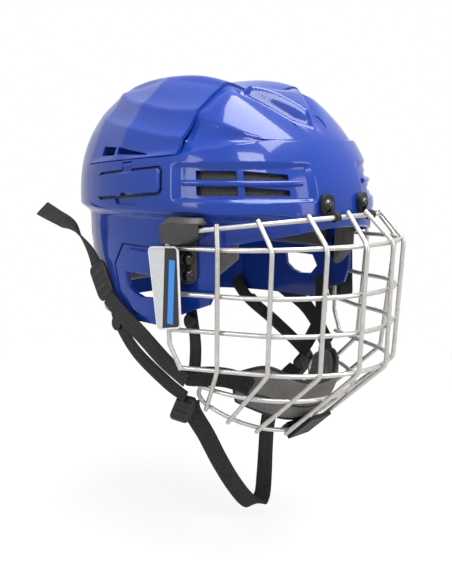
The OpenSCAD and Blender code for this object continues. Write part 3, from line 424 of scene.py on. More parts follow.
class Mat:
    def __init__(self, name, color, rough, metallic=0.0, coat=0.0, coat_rough=0.04, sheen=0.0, spec=0.5):
        self.m = bpy.data.materials.new(name)
        self.m.use_nodes = True
        self.t = self.m.node_tree
        self.b = self.t.nodes["Principled BSDF"]
        for socket, value in (("Base Color", (*color, 1)), ("Roughness", rough), ("Metallic", metallic),
                              ("Coat Weight", coat), ("Coat Roughness", coat_rough), ("Sheen Weight", sheen),
                              ("Specular IOR Level", spec)):
            self.b.inputs[socket].default_value = value

    def node(self, kind, ins=None, **props):
        return add_node(self.t, kind, ins, **props)

    def coords(self, kind="Object"):
        return self.node("TexCoord")[kind]

    def axes(self, vector):
        return self.node("SeparateXYZ", {0: vector})

    def noise(self, scale, detail=3.0, rough=0.5):
        return self.node("TexNoise", {"Scale": scale, "Detail": detail, "Roughness": rough,
                                      "Vector": self.coords()})["Fac"]

    def cells(self, scale, randomness=1.0):
        return self.node("TexVoronoi", {"Scale": scale, "Randomness": randomness,
                                        "Vector": self.coords()})["Distance"]

    def ramp(self, fac, low, low_color, high, high_color):
        out = self.node("ValToRGB", {"Fac": fac})["Color"]
        stops = out.node.color_ramp.elements
        for stop, position, color in zip(stops, (low, high), (low_color, high_color)):
            stop.position, stop.color = position, (*color, 1)
        return out

    def math(self, op, a, b=0.0, c=0.0):
        return self.node("Math", {0: a, 1: b, 2: c}, operation=op)[0]

    def between(self, v, a, b):
        return self.math("MULTIPLY", self.math("GREATER_THAN", v, a), self.math("LESS_THAN", v, b))

    def mix(self, fac, a, b):
        return self.node("Mix", {0: fac, 6: a, 7: b}, data_type="RGBA")[2]

    def remap(self, v, a, b, c, d):
        ins = {"Value": v, "From Min": a, "From Max": b, "To Min": c, "To Max": d}
        return self.node("MapRange", ins)["Result"]

    def bump(self, height, strength, distance, normal=None):
        ins = {"Strength": strength, "Distance": distance, "Height": height}
        if normal is not None:
            ins["Normal"] = normal
        return self.node("Bump", ins)["Normal"]

    def bevel(self, radius):
        return self.node("Bevel", {"Radius": radius}, samples=6)["Normal"]

    def to(self, out, socket):
        self.t.links.new(out, self.b.inputs[socket])


def shell_material():
    m = Mat("shell_blue", (0.006, 0.029, 0.205), 0.3, coat=0.46, coat_rough=0.07, spec=0.08)
    m.to(m.ramp(m.noise(9, 2), 0.3, (0.005, 0.026, 0.19), 0.7, (0.007, 0.032, 0.22)), "Base Color")
    m.to(m.remap(m.noise(140, 4, 0.6), 0.3, 0.75, 0.25, 0.36), "Roughness")
    m.to(m.bump(m.noise(60, 2), 0.02, 0.0004), "Normal")
    return m.m


def wire_material():
    m = Mat("wire_silver", (0.47, 0.455, 0.43), 0.36, metallic=0.75, spec=0.4)
    m.to(m.ramp(m.noise(260, 4), 0.35, (0.42, 0.41, 0.385), 0.7, (0.51, 0.495, 0.465)), "Base Color")
    m.to(m.remap(m.noise(900, 3, 0.6), 0.3, 0.7, 0.27, 0.42), "Roughness")
    m.to(m.bump(m.noise(1400, 3), 0.12, 0.0003), "Normal")
    return m.m


def plastic_material(name, color, rough, grain=1500, strength=0.25, spec=0.25):
    m = Mat(name, color, rough, spec=spec)
    c = np.array(color)
    m.to(m.ramp(m.noise(60, 4), 0.3, c * 0.8, 0.75, c * 1.25), "Base Color")
    m.to(m.remap(m.noise(300, 4), 0.3, 0.7, rough - 0.07, rough + 0.09), "Roughness")
    m.to(m.bump(m.noise(grain, 3, 0.6), strength, 0.0003, m.bevel(0.0005)), "Normal")
    return m.m


def foam_material(name, color):
    m = Mat(name, color, 0.82, sheen=0.15, spec=0.3)
    c = np.array(color)
    m.to(m.ramp(m.noise(700, 4, 0.65), 0.3, c * 0.72, 0.72, c * 1.2), "Base Color")
    m.to(m.bump(m.cells(900), 0.35, 0.0004, m.bump(m.noise(90, 3), 0.1, 0.001)), "Normal")
    return m.m


def webbing_material():
    """Flat weave along the strap's UV map, whose unit is a metre: ribs across it and slanted threads."""
    ribs, threads, slant = 900, 640, 0.0022
    m = Mat("web_black", (0.008, 0.008, 0.009), 0.72, sheen=0.08, spec=0.16)
    m.b.inputs["Sheen Roughness"].default_value = 0.45
    uv = m.axes(m.coords("UV"))
    across = m.math("SINE", m.math("MULTIPLY", uv[0], 2 * math.pi * ribs))
    zig = m.math("PINGPONG", uv[0], slant)
    diag = m.math("SINE", m.math("MULTIPLY", m.math("ADD", uv[1], zig), 2 * math.pi * threads))
    height = m.math("ADD", m.math("MULTIPLY", across, 0.5), diag)
    fuzz = m.noise(2500, 3, 0.7)
    # The colour follows the weave's height: painted shade in its hollows and a painted highlight on its
    # raised threads, plus random fuzz in the tone.
    m.to(m.ramp(m.math("MULTIPLY_ADD", height, 0.3, fuzz), 0.15, (0.002, 0.002, 0.0024),
                1.0, (0.024, 0.0235, 0.025)), "Base Color")
    m.to(m.bump(height, 0.9, 0.0004, m.bump(fuzz, 0.2, 0.0004)), "Normal")
    return m.m


def foil_material():
    """Silver foil with a dark band along its front edge and a plain blue bar in the band."""
    band_from, bar_from, bar_to, bar_low, bar_high, lean = 0.0365, 0.0415, 0.0475, -0.006, 0.040, -0.06
    m = Mat("foil_bands", (0.5, 0.5, 0.52), 0.32, metallic=0.2)
    xyz = m.axes(m.coords())
    ahead = m.math("ADD", m.math("MULTIPLY", xyz[1], -1.0), m.math("MULTIPLY", xyz[2], lean))
    bar = m.math("MULTIPLY", m.between(ahead, bar_from, bar_to), m.between(xyz[2], bar_low, bar_high))
    silver = m.ramp(m.noise(700, 4), 0.3, (0.40, 0.41, 0.43), 0.7, (0.50, 0.51, 0.53))
    band = m.mix(bar, (0.012, 0.009, 0.009, 1), (0.02, 0.20, 0.62, 1))
    m.to(m.mix(m.math("GREATER_THAN", ahead, band_from), silver, band), "Base Color")
    m.to(m.bump(m.noise(1200, 2), 0.08, 0.0002), "Normal")
    return m.m


def plate_material():
    """Pale on the faces that look away from the head, dark on the faces that look towards it."""
    m = Mat("plate_grey", (0.55, 0.55, 0.55), 0.4, spec=0.3)
    normal = m.axes(m.node("NewGeometry")["Normal"])
    outward = m.math("MULTIPLY", normal[0], m.math("SIGN", m.axes(m.coords())[0]))
    pale = m.ramp(m.noise(200, 3), 0.3, (0.50, 0.50, 0.50), 0.7, (0.60, 0.60, 0.60))
    m.to(m.mix(m.math("LESS_THAN", outward, -0.3), pale, (0.03, 0.03, 0.031, 1)), "Base Color")
    m.to(m.bump(m.noise(1500, 3, 0.6), 0.1, 0.0003, m.bevel(0.0005)), "Normal")
    return m.m


def screen_material():
    m = Mat("vent_mesh", (0.012, 0.012, 0.012), 0.6)
    mesh = m.cells(620, 0.15)
    m.to(m.ramp(mesh, 0.25, (0.001, 0.001, 0.001), 0.6, (0.012, 0.011, 0.010)), "Base Color")
    m.to(m.bump(mesh, 0.7, 0.0006), "Normal")
    return m.m


M_SHELL = shell_material()
M_WIRE = wire_material()
M_BLACK = plastic_material("fitting_black", (0.010, 0.010, 0.011), 0.42)
M_SCREW = plastic_material("screw_black", (0.005, 0.005, 0.0055), 0.14, strength=0.05, spec=0.5)
M_HOOD = plastic_material("hood_grey", (0.036, 0.035, 0.036), 0.4, grain=900, strength=0.3)
M_PLATE = plate_material()
M_RUBBER = plastic_material("rubber_black", (0.008, 0.008, 0.008), 0.6, strength=0.4)
M_FOAM = foam_material("foam_grey", (0.055, 0.053, 0.050))
M_DARKFOAM = foam_material("foam_dark", (0.030, 0.030, 0.031))
M_CUP = plastic_material("cup_grey", (0.088, 0.084, 0.082), 0.62, grain=1100, strength=0.4)
M_PIPE = plastic_material("piping_black", (0.012, 0.012, 0.013), 0.5, strength=0.3)
M_WEB = webbing_material()
M_FOIL = foil_material()
M_SCREEN = screen_material()


def dress(ob, mat, body, replaced=()):
    ob.data.materials.clear()
    ob.data.materials.append(mat)
    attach(ob, body)
    if replaced:
        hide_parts(*replaced)
    return ob


def pair(left, stem):
    """The left piece and its mirrored twin, each with its side's name."""
    return ((left, "left"), (mirrored(left, stem + "_right"), "right"))


# Outlines on the sides of the shell, in Y and Z. The brow edge of the face opening follows the photo.
face_outline = [(-180, 64), (-124, 63), (-118, 61.5), (-112, 58.8), (-104, 56.3), (-93, 54), (-82, 51.6),
                (-73, 49), (-69.5, 46), (-68, 41), (-68, 20), (-62, 7), (-42, -1), (-22, -11), (-20, -40),
                (-180, -40)]
ear_outline = [(18, 46), (31, 29), (25, 4), (-1, -10), (-18, -10), (-40, 1), (-41, 30), (-32, 46)]
ear_hole = [(14, 25), (12, 15), (5, 10), (-4, 7.5), (-17, 8.5), (-24, 16), (-18, 25)]
guard_panel = [(19.9, 32.2), (11.1, 42.2), (7.4, 43.6), (-17.9, 42.6), (-30, 42), (-37, 29), (-36, 4),
               (-18, -7), (-4, -7), (7, -3), (12.3, 3.9), (13, 20.7)]
guard_mid, guard_sink, guard_low = (-6.0, 17.5), 1.8, -7.0
guard_ang = directions(guard_mid, ear_outline, guard_panel, ear_hole)
guard_edge = reach_to(ear_outline, guard_mid, guard_ang)

# Latch: bearings of its ends, levels of its top edge, and its hinge, peg and pocket
latch_front, latch_rear, latch_top, latch_h, latch_t = 77.3, 105.0, (103.6, 97.1), 17.0, 2.5
latch_sink, latch_slack, latch_lift, pocket_d, peg_d, barrel_d = 0.9, 0.6, 4.0, 2.0, 4.4, 5.4
latch_gap, knuckle_r, knuckle_l = 1.9, 3.1, 10.4
size_travel, tongue_x, tongue_t, tongue_end = 10.0, 85.6, 2.0, 8.0
latch_phi, latch_z = (latch_front + latch_rear) / 2, (latch_top[0] + latch_top[1]) / 2
latch_skin = skin(latch_phi, latch_z + latch_lift)
latch_axis = latch_skin - np.array([barrel_d / 2 + 0.5, 0, 0])
ends = skin(latch_rear, latch_top[1]) - skin(latch_front, latch_top[0])
latch_tilt = math.atan2(ends[2], ends[1])
peg_at = np.array([*skin(96.0, latch_axis[2] - 15)[:2], latch_axis[2] - 15])
latch_corners = [skin(p, z)[1:] for p, z in ((latch_front, latch_top[0]), (latch_rear, latch_top[1]),
                                            (latch_rear, latch_top[1] - latch_h),
                                            (latch_front, latch_top[0] - latch_h))]


def round_outline(corners, grow, r, seg=8):
    """Outline in Y and Z through four corners, grown by grow, with corners of radius r."""
    c = np.array(corners, float)
    n = len(c)
    out = []
    for i in range(n):
        a, p, b = c[i - 1], c[i], c[(i + 1) % n]
        u, v = unit(a - p), unit(b - p)
        half = math.acos(np.clip(u @ v, -1, 1)) / 2
        bis = unit(u + v)
        tip = p - bis * grow / math.sin(half)
        centre = tip + bis * r / math.sin(half)
        p0, p1 = tip + u * r / math.tan(half), tip + v * r / math.tan(half)
        a0, a1 = math.atan2(*(p0 - centre)[::-1]), math.atan2(*(p1 - centre)[::-1])
        d = (a1 - a0 + math.pi) % (2 * math.pi) - math.pi
        turns = a0 + d * np.arange(seg + 1) / seg
        out += [tuple(centre + r * np.array([math.cos(t), math.sin(t)])) for t in turns]
    return out


def at_latch(p):
    """Point given along the left latch's hinge, as out, along and up from its axis."""
    c, s = math.cos(latch_tilt), math.sin(latch_tilt)
    return latch_axis + np.array([p[0], p[1] * c - p[2] * s, p[1] * s + p[2] * c])


def hinge_slot():
    half = knuckle_l / 2 + 0.3
    return box((-4, -half, -latch_lift - 2.6), (8, half, knuckle_r + 0.2), at_latch)


# Shells
through = (-9, 9)
far = 200
low_levels = np.linspace(-rim_drop, band_z - 6, 24)
step_levels = np.linspace(band_z - 6, band_z + 2, 9)[1:]
near_ledge = ledge_mid + np.array([-1.6, -1.0, -0.6, -0.35, -0.1, 0.1, 0.3, 0.5, 0.7, 0.9, 1.3, 1.9])


def shell_grid(bearings, rows, last):
    """Bearings and levels of a shell's grid, with close rows along the ledge."""
    dome = band_z + 2 + (dome_h - 2) * np.sin(np.radians(90 * np.arange(1, rows * last) / rows))
    dome = np.concatenate([np.arange(band_z + 3, ledge_mid - 2, 0.7), dome[dome > ledge_mid]])
    levels = np.concatenate([low_levels, step_levels, dome[dome < ledge_mid - 2.2], near_ledge,
                             dome[dome > ledge_mid + 2.6]])
    phi, z = np.meshgrid(bearings, levels)
    return phi, follow(phi, z)


def ledge_block(y0, rise):
    """Block above a plane that falls with the ledge, from y0 backwards."""
    a = -math.atan(ledge_fall)
    ca, sa = math.cos(a), math.sin(a)

    def place(p):
        y, z = p[1] + y0, p[2]
        return (p[0] - far, y * ca - z * sa, y * sa + z * ca + ledge_mid + rise)

    return box((0, 0, 0), (2 * far, 700, 150), place)


def side_cutters():
    """Cutters for the front shell's left side: ear hole, vents, latch pocket and scoop, ear recess, slots."""
    out = [prism(ear_hole)]
    for base in (vent_mid - vent_bar / 2 - vent_slot_h, vent_mid + vent_bar / 2):
        for a, b, drop in ((vent_front, vent_post - 1.4, 0.4 * vent_slot_h), (vent_post + 1.4, vent_rear, 0)):
            top = base + vent_slot_h
            out.append(skin_patch(a, b, (base, base), (top - drop, top), *through, 20, 2))
    low, high = [z - latch_h - latch_slack - 4 for z in latch_top], [z + 5.2 for z in latch_top]
    pocket = skin_patch(latch_front - 4, latch_rear + 4, low, high, -pocket_d, 6, 48, 20)
    out.append(cut(pocket, [prism(round_outline(latch_corners, latch_gap, 4.6))], "INTERSECT"))
    base = latch_z - latch_h
    scoop = skin_patch(latch_phi - 12, latch_phi + 12, (base - 12,) * 2, (base + 3,) * 2, -1.9, 6, 24, 10)
    y, z = skin(latch_phi, base)[1:]
    scoop_edge = [(y - 15.5, z + 1), (y + 15.5, z + 1), (y + 11, z - 7.2), (y - 11, z - 7.2)]
    out.append(cut(scoop, [prism(scoop_edge)], "INTERSECT"))
    fall = np.sin(guard_ang)
    floor_r = np.where(fall < 0, (guard_low - guard_mid[1]) / np.minimum(fall, -1e-6), 1e9)
    ring = np.minimum(np.stack([0.8 * reach_to(ear_hole, guard_mid, guard_ang), guard_edge + 0.8]), floor_r)
    out.append(side_ring("c", guard_mid, guard_ang, ring, 5.0, -guard_sink))
    out.append(hinge_slot())
    room = peg_d / 2 + 0.6
    out.append(box(peg_at - (8, room, room + 3.2), peg_at + (4, room, room)))
    out.append(skin_patch(9.2, 14.2, (133, 143.2), (135.2, 145.2), *through, 12, 2))
    return out


def both_sides(cutters):
    return cutters + [mirrored(c) for c in cutters]


def vent_bar_mesh():
    a = np.linspace(0, 2 * np.pi, 24, endpoint=False)
    return loft("c", [skin(np.full(24, p), vent_mid + vent_bar / 2 * np.cos(a), -0.6 + 2.4 * np.sin(a))
                      for p in np.linspace(vent_front - 6, vent_rear + 6, 60)], 60)


def seam_lip(hold=5.0, reach=13.0, thick=1.4):
    """Lip on the inside of the front shell that stays behind the side seam when the rear shell slides."""
    y, z = np.meshgrid(np.linspace(rear_seam - hold, rear_seam + reach, 18),
                       np.linspace(1.5 - rim_drop, band_z - 5, 30))
    phi = side_bearing(y, z)
    joggle = 0.1 - 0.7 * ease((y - rear_seam + 2) / 2) - shell_wall
    return slab("c", skin(phi, z, joggle), skin(phi, z, joggle - thick))


side_turn, face_turn = 132, 35
bearings = np.concatenate([np.linspace(-side_turn, -face_turn, 122)[:-1],
                           np.linspace(-face_turn, face_turn, 176),
                           np.linspace(face_turn, side_turn, 122)[1:]])
phi, z = shell_grid(bearings, 112, 0.97)
front = slab("front_shell_fine", skin(phi, z, 0, 1), skin(phi, z, -shell_wall, 1))
cut(front, [prism(face_outline, -far, far), ledge_block(seam_y + tuck_l, 7),
            box((-far, rear_seam, -100), (far, 300, 300))] + both_sides(side_cutters()))
bar, lip = vent_bar_mesh(), seam_lip()
front = join("front_shell_fine", [front, bar, mirrored(bar), lip, mirrored(lip)], 58)
dress(front, M_SHELL, "helmet", ["front_shell"])

around = 320
phi, z = shell_grid(np.linspace(0, 360, around, endpoint=False), 84, 1.0)
count = len(z)
apex = count * around
last = apex - around
dome = ring_faces(count, around) + [(last + j, last + (j + 1) % around, apex) for j in range(around)]
verts = [np.vstack([skin(phi, z, o, 0, 1).reshape(-1, 3), skin(0.0, crown_z, o, 0, 1)])
         for o in (rear_in + shell_wall, rear_in)]
inside = apex + 1
faces = dome + [tuple(inside + v for v in f[::-1]) for f in dome] \
    + [(j, inside + j, inside + (j + 1) % around, (j + 1) % around) for j in range(around)]
rear = mesh_object("rear_shell_fine", np.vstack(verts), faces)
keep_low = cut(box((-far, -far, -100), (far, rear_seam + shell_gap, 300)), [ledge_block(-300, shell_gap)])
rear_vents = [skin_patch(85, 97.5, (113.4, 113), (114.5, 119), *through, 12, 2),
              skin_patch(99, 108, (112.6, 112), (119, 119.5), *through, 8, 2),
              skin_patch(128, 136, (46, 50), (57, 50.6), *through, 8, 2)]
front_of_seam = box((-far, seam_y - seam_lap - 300, -100), (far, seam_y - seam_lap, 300))
cut(rear, [front_of_seam, keep_low] + both_sides(rear_vents))
py, pz = peg_at[1:]
tongue = box((tongue_x, py - size_travel - peg_d, pz - 8),
             (tongue_x + tongue_t, rear_seam + tongue_end, pz + 4.5))
cut(tongue, [box((80, py - size_travel - peg_d / 2 - 0.5, pz - peg_d / 2 - 2.2),
                 (95, py + peg_d / 2 + 0.5, pz + peg_d / 2 + 0.5))])
rear = join("rear_shell_fine", [rear, tongue, mirrored(tongue)], 30)
dress(rear, M_SHELL, "rear", ["rear_shell"])


# Latches, ear guards, vent screens
latch_mid = np.mean(latch_corners, axis=0)
latch_edge = round_outline(latch_corners, -0.1, 3.4)
latch_ang = directions(latch_mid, latch_edge)


def make_latch():
    edge = reach_to(latch_edge, latch_mid, latch_ang)
    r = edge[None, :] * np.sin(np.linspace(0, math.pi / 2, 26))[:, None]
    top = latch_t - latch_sink - 1.1 * (1 - ease((edge - r) / 1.7 + 0.15))
    plate = side_ring("c", latch_mid, latch_ang, r, top, -latch_sink, core=True)
    cut(plate, [disc(latch_skin - np.array([0, 0, latch_h + latch_lift + 3]), (1, 0, 0), 10, 30)])
    barrel = disc(latch_axis, at_latch(np.array([0, 1.0, 0])) - latch_axis, 2 * knuckle_r, knuckle_l)
    neck = box((0, -knuckle_l / 2, -latch_lift - 1), (knuckle_r, knuckle_l / 2, -1.5), at_latch)
    peg_in, peg_out = tongue_x - 0.6, peg_at[0] + 0.6
    peg = disc(((peg_in + peg_out) / 2, *peg_at[1:]), (1, 0, 0), peg_d, peg_out - peg_in)
    return join("latch_plate_left", [plate, barrel, neck, peg], 30)


for ob, side in pair(make_latch(), "latch_plate"):
    dress(ob, M_SHELL, "latch_body_" + side, ["latch_" + side])

# Thin black sheet on the floor of each latch pocket, round the latch: painted shade in the gap between the
# latch and the shell.
gap_shade_edge = reach_to(round_outline(latch_corners, latch_gap - 0.15, 4.4), latch_mid, latch_ang)
gap_shade_r = np.stack([gap_shade_edge - 4.5, gap_shade_edge])
seat_and_gap_shade = side_ring("latch_gap_shade_left", latch_mid, latch_ang, gap_shade_r, 0.2 - pocket_d, 0.04 - pocket_d)
cut(seat_and_gap_shade, [hinge_slot()])
for ob, side in pair(seat_and_gap_shade, "latch_gap_shade"):
    dress(ob, M_BLACK, "helmet")

hole = reach_to(ear_hole, guard_mid, guard_ang)
panel = np.clip(reach_to(guard_panel, guard_mid, guard_ang), hole + 1.5, guard_edge - 1.5)
r = np.concatenate([rows_between(hole, panel, 18), rows_between(panel, guard_edge, 16)[1:]])
rise = 0.05 - guard_sink + 1.2 * ease((guard_edge - r) / 0.6) + 2.5 * ease((panel + 0.5 - r) / 1.0) \
    - (1 - ease((r - hole) / 1.3))
guard = side_ring("ear_shield_left", guard_mid, guard_ang, r, rise, 0.02 - guard_sink)
for ob, side in pair(guard, "ear_shield"):
    dress(ob, M_SHELL, "helmet", ["ear_guard_" + side])

screen = skin_patch(vent_front - 3, vent_rear + 3, (vent_mid - 11,) * 2, (vent_mid + 11,) * 2,
                    -shell_wall - 2.2, -shell_wall - 1.4, 60, 14)
screen = join("vent_mesh", [screen, mirrored(screen)], 30)
dress(screen, M_SCREEN, "helmet", ["vent_screens"])


# Foam pads
pad_t = 10.0


def pillow(name, grid_at, cols, rows, edge):
    """Cushion over a grid from -1 to 1; the higher edge is, the squarer its rim."""
    u, v = (spow(np.linspace(-1, 1, n + 1), 0.55) for n in (cols, rows))
    U, V = np.meshgrid(u, v)
    p = np.sqrt(np.clip(1 - np.abs(U) ** edge, 0, 1) * np.clip(1 - np.abs(V) ** edge, 0, 1))
    return slab(name, grid_at(U, V, p), grid_at(U, V, -p), smooth=180)


def pad(name, phi0, phi1, lo, hi, inset, mat=M_FOAM, edge=14.0, body="helmet", cols=60, rows=30):
    mid = -shell_wall - 0.5 - inset - pad_t / 2

    def at(U, V, p):
        return skin(*patch(phi0, phi1, lo, hi, (U + 1) / 2, (V + 1) / 2), mid + pad_t / 2 * p)

    ob = pillow(name + "_foam", at, cols, rows, edge)
    dress(ob, mat, body, [name])


pad("forehead_pad", -38, 38, (brow_z - 9,) * 2, (brow_z + 3,) * 2, inset=2, mat=M_DARKFOAM, cols=90)
for side, sgn in (("left", 1), ("right", -1)):
    pad("temple_pad_" + side, sgn * 46, sgn * 60, (40, 22), (56, 60), inset=0, edge=18)
    pad("side_pad_" + side, sgn * 72, sgn * 116, (34, 34), (66, 66), inset=0)
pad("crown_pad", 112, 248, (124,) * 2, (160,) * 2, inset=1, body="rear", cols=100)
pad("rear_pad", 140, 220, (2, 2), (96, 96), inset=4, body="rear", cols=70, rows=50)


# Chin cup
cup_w, cup_d, cup_y, cup_top, cup_low, cup_turn = 48.0, 52.0, -50.0, -56.0, -88.0, 82.0
cup_t, cup_rim, cup_seam = 3.5, 1.4, 0.62


def cup_point(a, t, o):
    """Point of the cup at turn a, from the top edge t=0 to the lower edge t=1, o outside its inner face."""
    a = np.radians(a)
    turn_in = np.abs(t) ** 2.2
    end = np.clip((np.abs(a) - 0.9) / 0.53, 0, 1) ** 2
    wing = 5 * np.exp(-((np.abs(a) - 0.85) / 0.28) ** 2)
    top, low = cup_top + 14 * np.sin(a) ** 2 - 9 * end + wing, cup_low + 15 * np.sin(a) ** 2 + end
    roll = 1.6 * np.exp(-((t - 0.82) / 0.13) ** 2) - 1.3 * np.exp(-((t - cup_seam) / 0.035) ** 2)
    out = cup_d * (1 - 0.4 * turn_in) + o + np.where(o > 0, roll, 0.0)
    return np.stack([(cup_w * (1 - 0.12 * turn_in) + o) * np.sin(a), cup_y - out * np.cos(a),
                     low + (top - low) * (1 - t)], -1)


def cup_at(mid, half_t):
    return lambda U, V, p: cup_point(cup_turn * U, (1 - V) / 2, mid + half_t * p)


cup = pillow("chin_cup_fine", cup_at(cup_t / 2, cup_t / 2), 100, 60, 16.0)
dress(cup, M_CUP, "cage", ["chin_cup"])
chin = pillow("chin_pad_foam", cup_at(-3.3, 3.0), 80, 36, 9.0)
dress(chin, M_DARKFOAM, "cage", ["chin_pad"])
a, t = np.linspace(-cup_turn, cup_turn, 90), np.linspace(0.03, 0.97, 20)
rim = np.concatenate([cup_point(a, 0 * a, cup_rim), cup_point(cup_turn + 0 * t, t, cup_rim),
                      cup_point(a[::-1], 0 * a + 1, cup_rim), cup_point(0 * t - cup_turn, t[::-1], cup_rim)])
dress(tube("chin_cup_piping", rim, 1.7, 12, closed=True), M_PIPE, "cage")
seam = cup_point(a[8:-8], np.full(len(a) - 16, cup_seam), cup_t + 0.1)
dress(tube("chin_cup_seam", seam, 0.7, 8), M_PIPE, "cage")


# Straps. A route lists points on the strap's middle line, each with the direction of its width.
strap_w, tail_w, leg_w, chin_w, strap_t = 15.0, 14.0, 12.0, 14.0, 1.6
across = np.linspace(-1, 1, 9)
bulge = np.array([0.35, 0.92, 1, 1, 1, 1, 1, 0.92, 0.35])
section = np.concatenate([np.stack([across, bulge], 1), np.stack([across, -bulge], 1)[::-1]]) / 2


def route_points(route, k, steps=14):
    """Smooth curve through the points (k=0) or the widths (k=1) of a route."""
    q = [np.array(r[k], float) for r in route]
    out = []
    for i in range(len(q) - 1):
        a, b, c, d = q[max(0, i - 1)], q[i], q[i + 1], q[min(len(q) - 1, i + 2)]
        for t in np.arange(steps) / steps:
            out.append(0.5 * (2 * b + (c - a) * t + (2 * a - 5 * b + 4 * c - d) * t**2
                              + (3 * b - a - 3 * c + d) * t**3))
    return np.array(out + [q[-1]])


def strap_mesh(name, route, w, side=1):
    p, d = (route_points(route, k) * (side, 1, 1) for k in (0, 1))
    n = len(p)
    length = np.concatenate([[0], np.cumsum(np.linalg.norm(np.diff(p, axis=0), axis=1))])
    rings, uv = [], []
    for i in range(n):
        along = unit(p[min(n - 1, i + 1)] - p[max(0, i - 1)])
        wide = unit(d[i] - along * (along @ d[i]))
        rings.append(p[i] + section[:, :1] * w * wide + section[:, 1:] * strap_t * np.cross(along, wide))
        uv += [(x * w * MM, length[i] * MM) for x in section[:, 0]]
    return loft(name, rings, 50, uv=uv)


level = (0, 0, 1)
side_width, low_width, end_width = (0, -0.5, 0.87), (0, -0.62, 0.78), (0.15, -0.62, 0.78)
rear_route = [((91.5, 40, 3), side_width), ((94, 18, -9), side_width), ((94.5, -5, -21), side_width),
              ((91, -24, -36), low_width), ((85.5, -37, -47.5), end_width), ((83.6, -42, -51), end_width)]
tail_route = [((90.5, 54, 25), (0, -0.87, 0.5)), ((91, 62, 37), (0.3, -0.8, 0.5)),
              ((94, 73, 50), (0.7, -0.5, 0.3)), ((97, 84, 58), (0.9, 0.2, -0.2)),
              ((101, 97, 64), (0.9, 0.3, -0.4)), ((104, 108, 69), (0.8, 0.3, -0.6))]
front_route = [((80.5, -36, -50), (0.1, -0.5, 0.85)), ((77, -45, -49), (0, -0.2, 1)),
               ((69, -54, -48.5), level), ((60, -63, -50), level), ((52, -71.5, -54), level),
               ((50.5, -76, -57), level)]
rear_leg_route = [((73, 60, -2), (0.3, -0.4, 0.87)), ((76, 48, -19), side_width), ((82, 18, -39), side_width),
                  ((80, -16, -58), (0, -0.6, 0.8)), ((74, -31, -68), (0, -0.8, 0.6))]
front_leg_route = [((76, -38, 10), (0, 1, 0)), ((75, -40, -6), (0, 1, 0.1)), ((73, -41, -24), (0, 1, 0.1)),
                   ((68, -35, -43), (0, 1, 0.2)), ((64, -28, -57), (0, 1, 0.2))]
chin_face, back_face = (0.62, -0.47, 0.63), (0.9, -0.3, 0)
chin_route = [((-67, -29, -74), chin_face), ((-64, -28, -83), chin_face), ((-50, -28, -104), chin_face),
              ((-36, -28, -128), chin_face), ((-20, -28, -152), chin_face),
              ((-4, -28, -171), (0.7, -0.45, 0.5)), ((8, -28, -178), (0.7, -0.6, 0.2)),
              ((16.5, -27, -173), (0.8, -0.5, 0)), ((20, -26, -156), (0.85, -0.4, 0)),
              ((22.5, -25, -135), back_face), ((26, -24, -113), back_face), ((34, -24, -92), (0.8, -0.4, 0)),
              ((46, -26, -77), (0.6, -0.7, 0)), ((57, -28, -68), (0.3, -0.9, 0))]
for side, sgn in (("left", 1), ("right", -1)):
    ob = join("cage_strap_web_rear_" + side,
              [strap_mesh("c", rear_route, strap_w, sgn), strap_mesh("c", tail_route, tail_w, sgn)])
    dress(ob, M_WEB, "helmet", ["cage_strap_rear_" + side])
    for name, node, route, w, body in (
            ("cage_strap_web_front_", "cage_strap_front_", front_route, strap_w, "cage"),
            ("rear_leg_web_", "rear_leg_", rear_leg_route, leg_w, "helmet"),
            ("front_leg_web_", "front_leg_", front_leg_route, leg_w, "helmet")):
        dress(strap_mesh(name + side, route, w, sgn), M_WEB, body, [node + side])
dress(strap_mesh("chin_strap_web", chin_route, chin_w), M_WEB, "helmet", ["chin_strap"])


# Buckles
def buckle(name, centre, along, across, length, width, thick):
    """Ladder buckle: a rounded frame with ribs across it and hollows between them."""
    a, b = unit(along), np.array(across, float)
    b = unit(b - a * (a @ b))
    face = np.cross(a, b)

    def at(U, V, p):
        au, av = np.abs(U), np.abs(V)
        norm = np.maximum((au**7 + av**7) ** (1 / 7), 1e-6)
        round_off = np.where(au + av < 1e-6, 1, np.maximum(au, av) / norm)
        ribs = sum(np.exp(-((au - mid) / half) ** 2) for mid, half in ((0.4, 0.1), (0.86, 0.08), (0, 0.1)))
        inside = ease((0.86 - av) / 0.1)
        drop = np.where(p >= 0, 1, -1) * 0.32 * inside * np.clip(1 - ribs, 0, 1) * ease(np.abs(p) * 2)
        return np.array(centre) + (U * round_off * length / 2)[..., None] * a \
            + (V * round_off * width / 2)[..., None] * b + ((p - drop) * thick / 2)[..., None] * face

    return pillow(name, at, 60, 44, 8.0)


spin = math.radians(58)
slide = buckle("slide_buckle_fine", (-75, -29, -77), (math.cos(spin), 0, math.sin(spin)), (0, 1, 0),
               21, 20, 4.4)
dress(slide, M_BLACK, "helmet", ["slide_buckle"])
keeper = buckle("strap_keeper_left", (66, -29.3, -65), (0.85, 0, 0.5), (-0.5, 0, 0.85), 24, 18, 4.6)
dress(keeper, M_BLACK, "helmet")
rear_buckle = buckle("strap_buckle_fine_left", (91, 47.3, 14.5), (0, 0.5, 0.87), (0, 0.87, -0.5), 30, 20, 5.0)
for ob, side in pair(rear_buckle, "strap_buckle_fine"):
    dress(ob, M_BLACK, "helmet", ["strap_buckle_" + side])


# Screws and side clips
clip_phi = math.degrees(math.asin((20.2 / shell_half_w) ** (plan_n / 2)))
clip_z, clip_off, clip_base_t, clip_head_d = 78.0, 0.5, 3.2, 8.4
side_clip_phi, side_screw_z, screw_head_d = 66.8, (40, 28.4), 9.5
arm_off, arm_t, arm_low, arm_w, arm_mid = 0.6, 2.2, 22.0, 14.0, 44.0
hood_z, hood_step = 51.5, 65.5
nut_r, stem_r, nut_t, brim = 4.5, 2.0, 1.6, 0.5


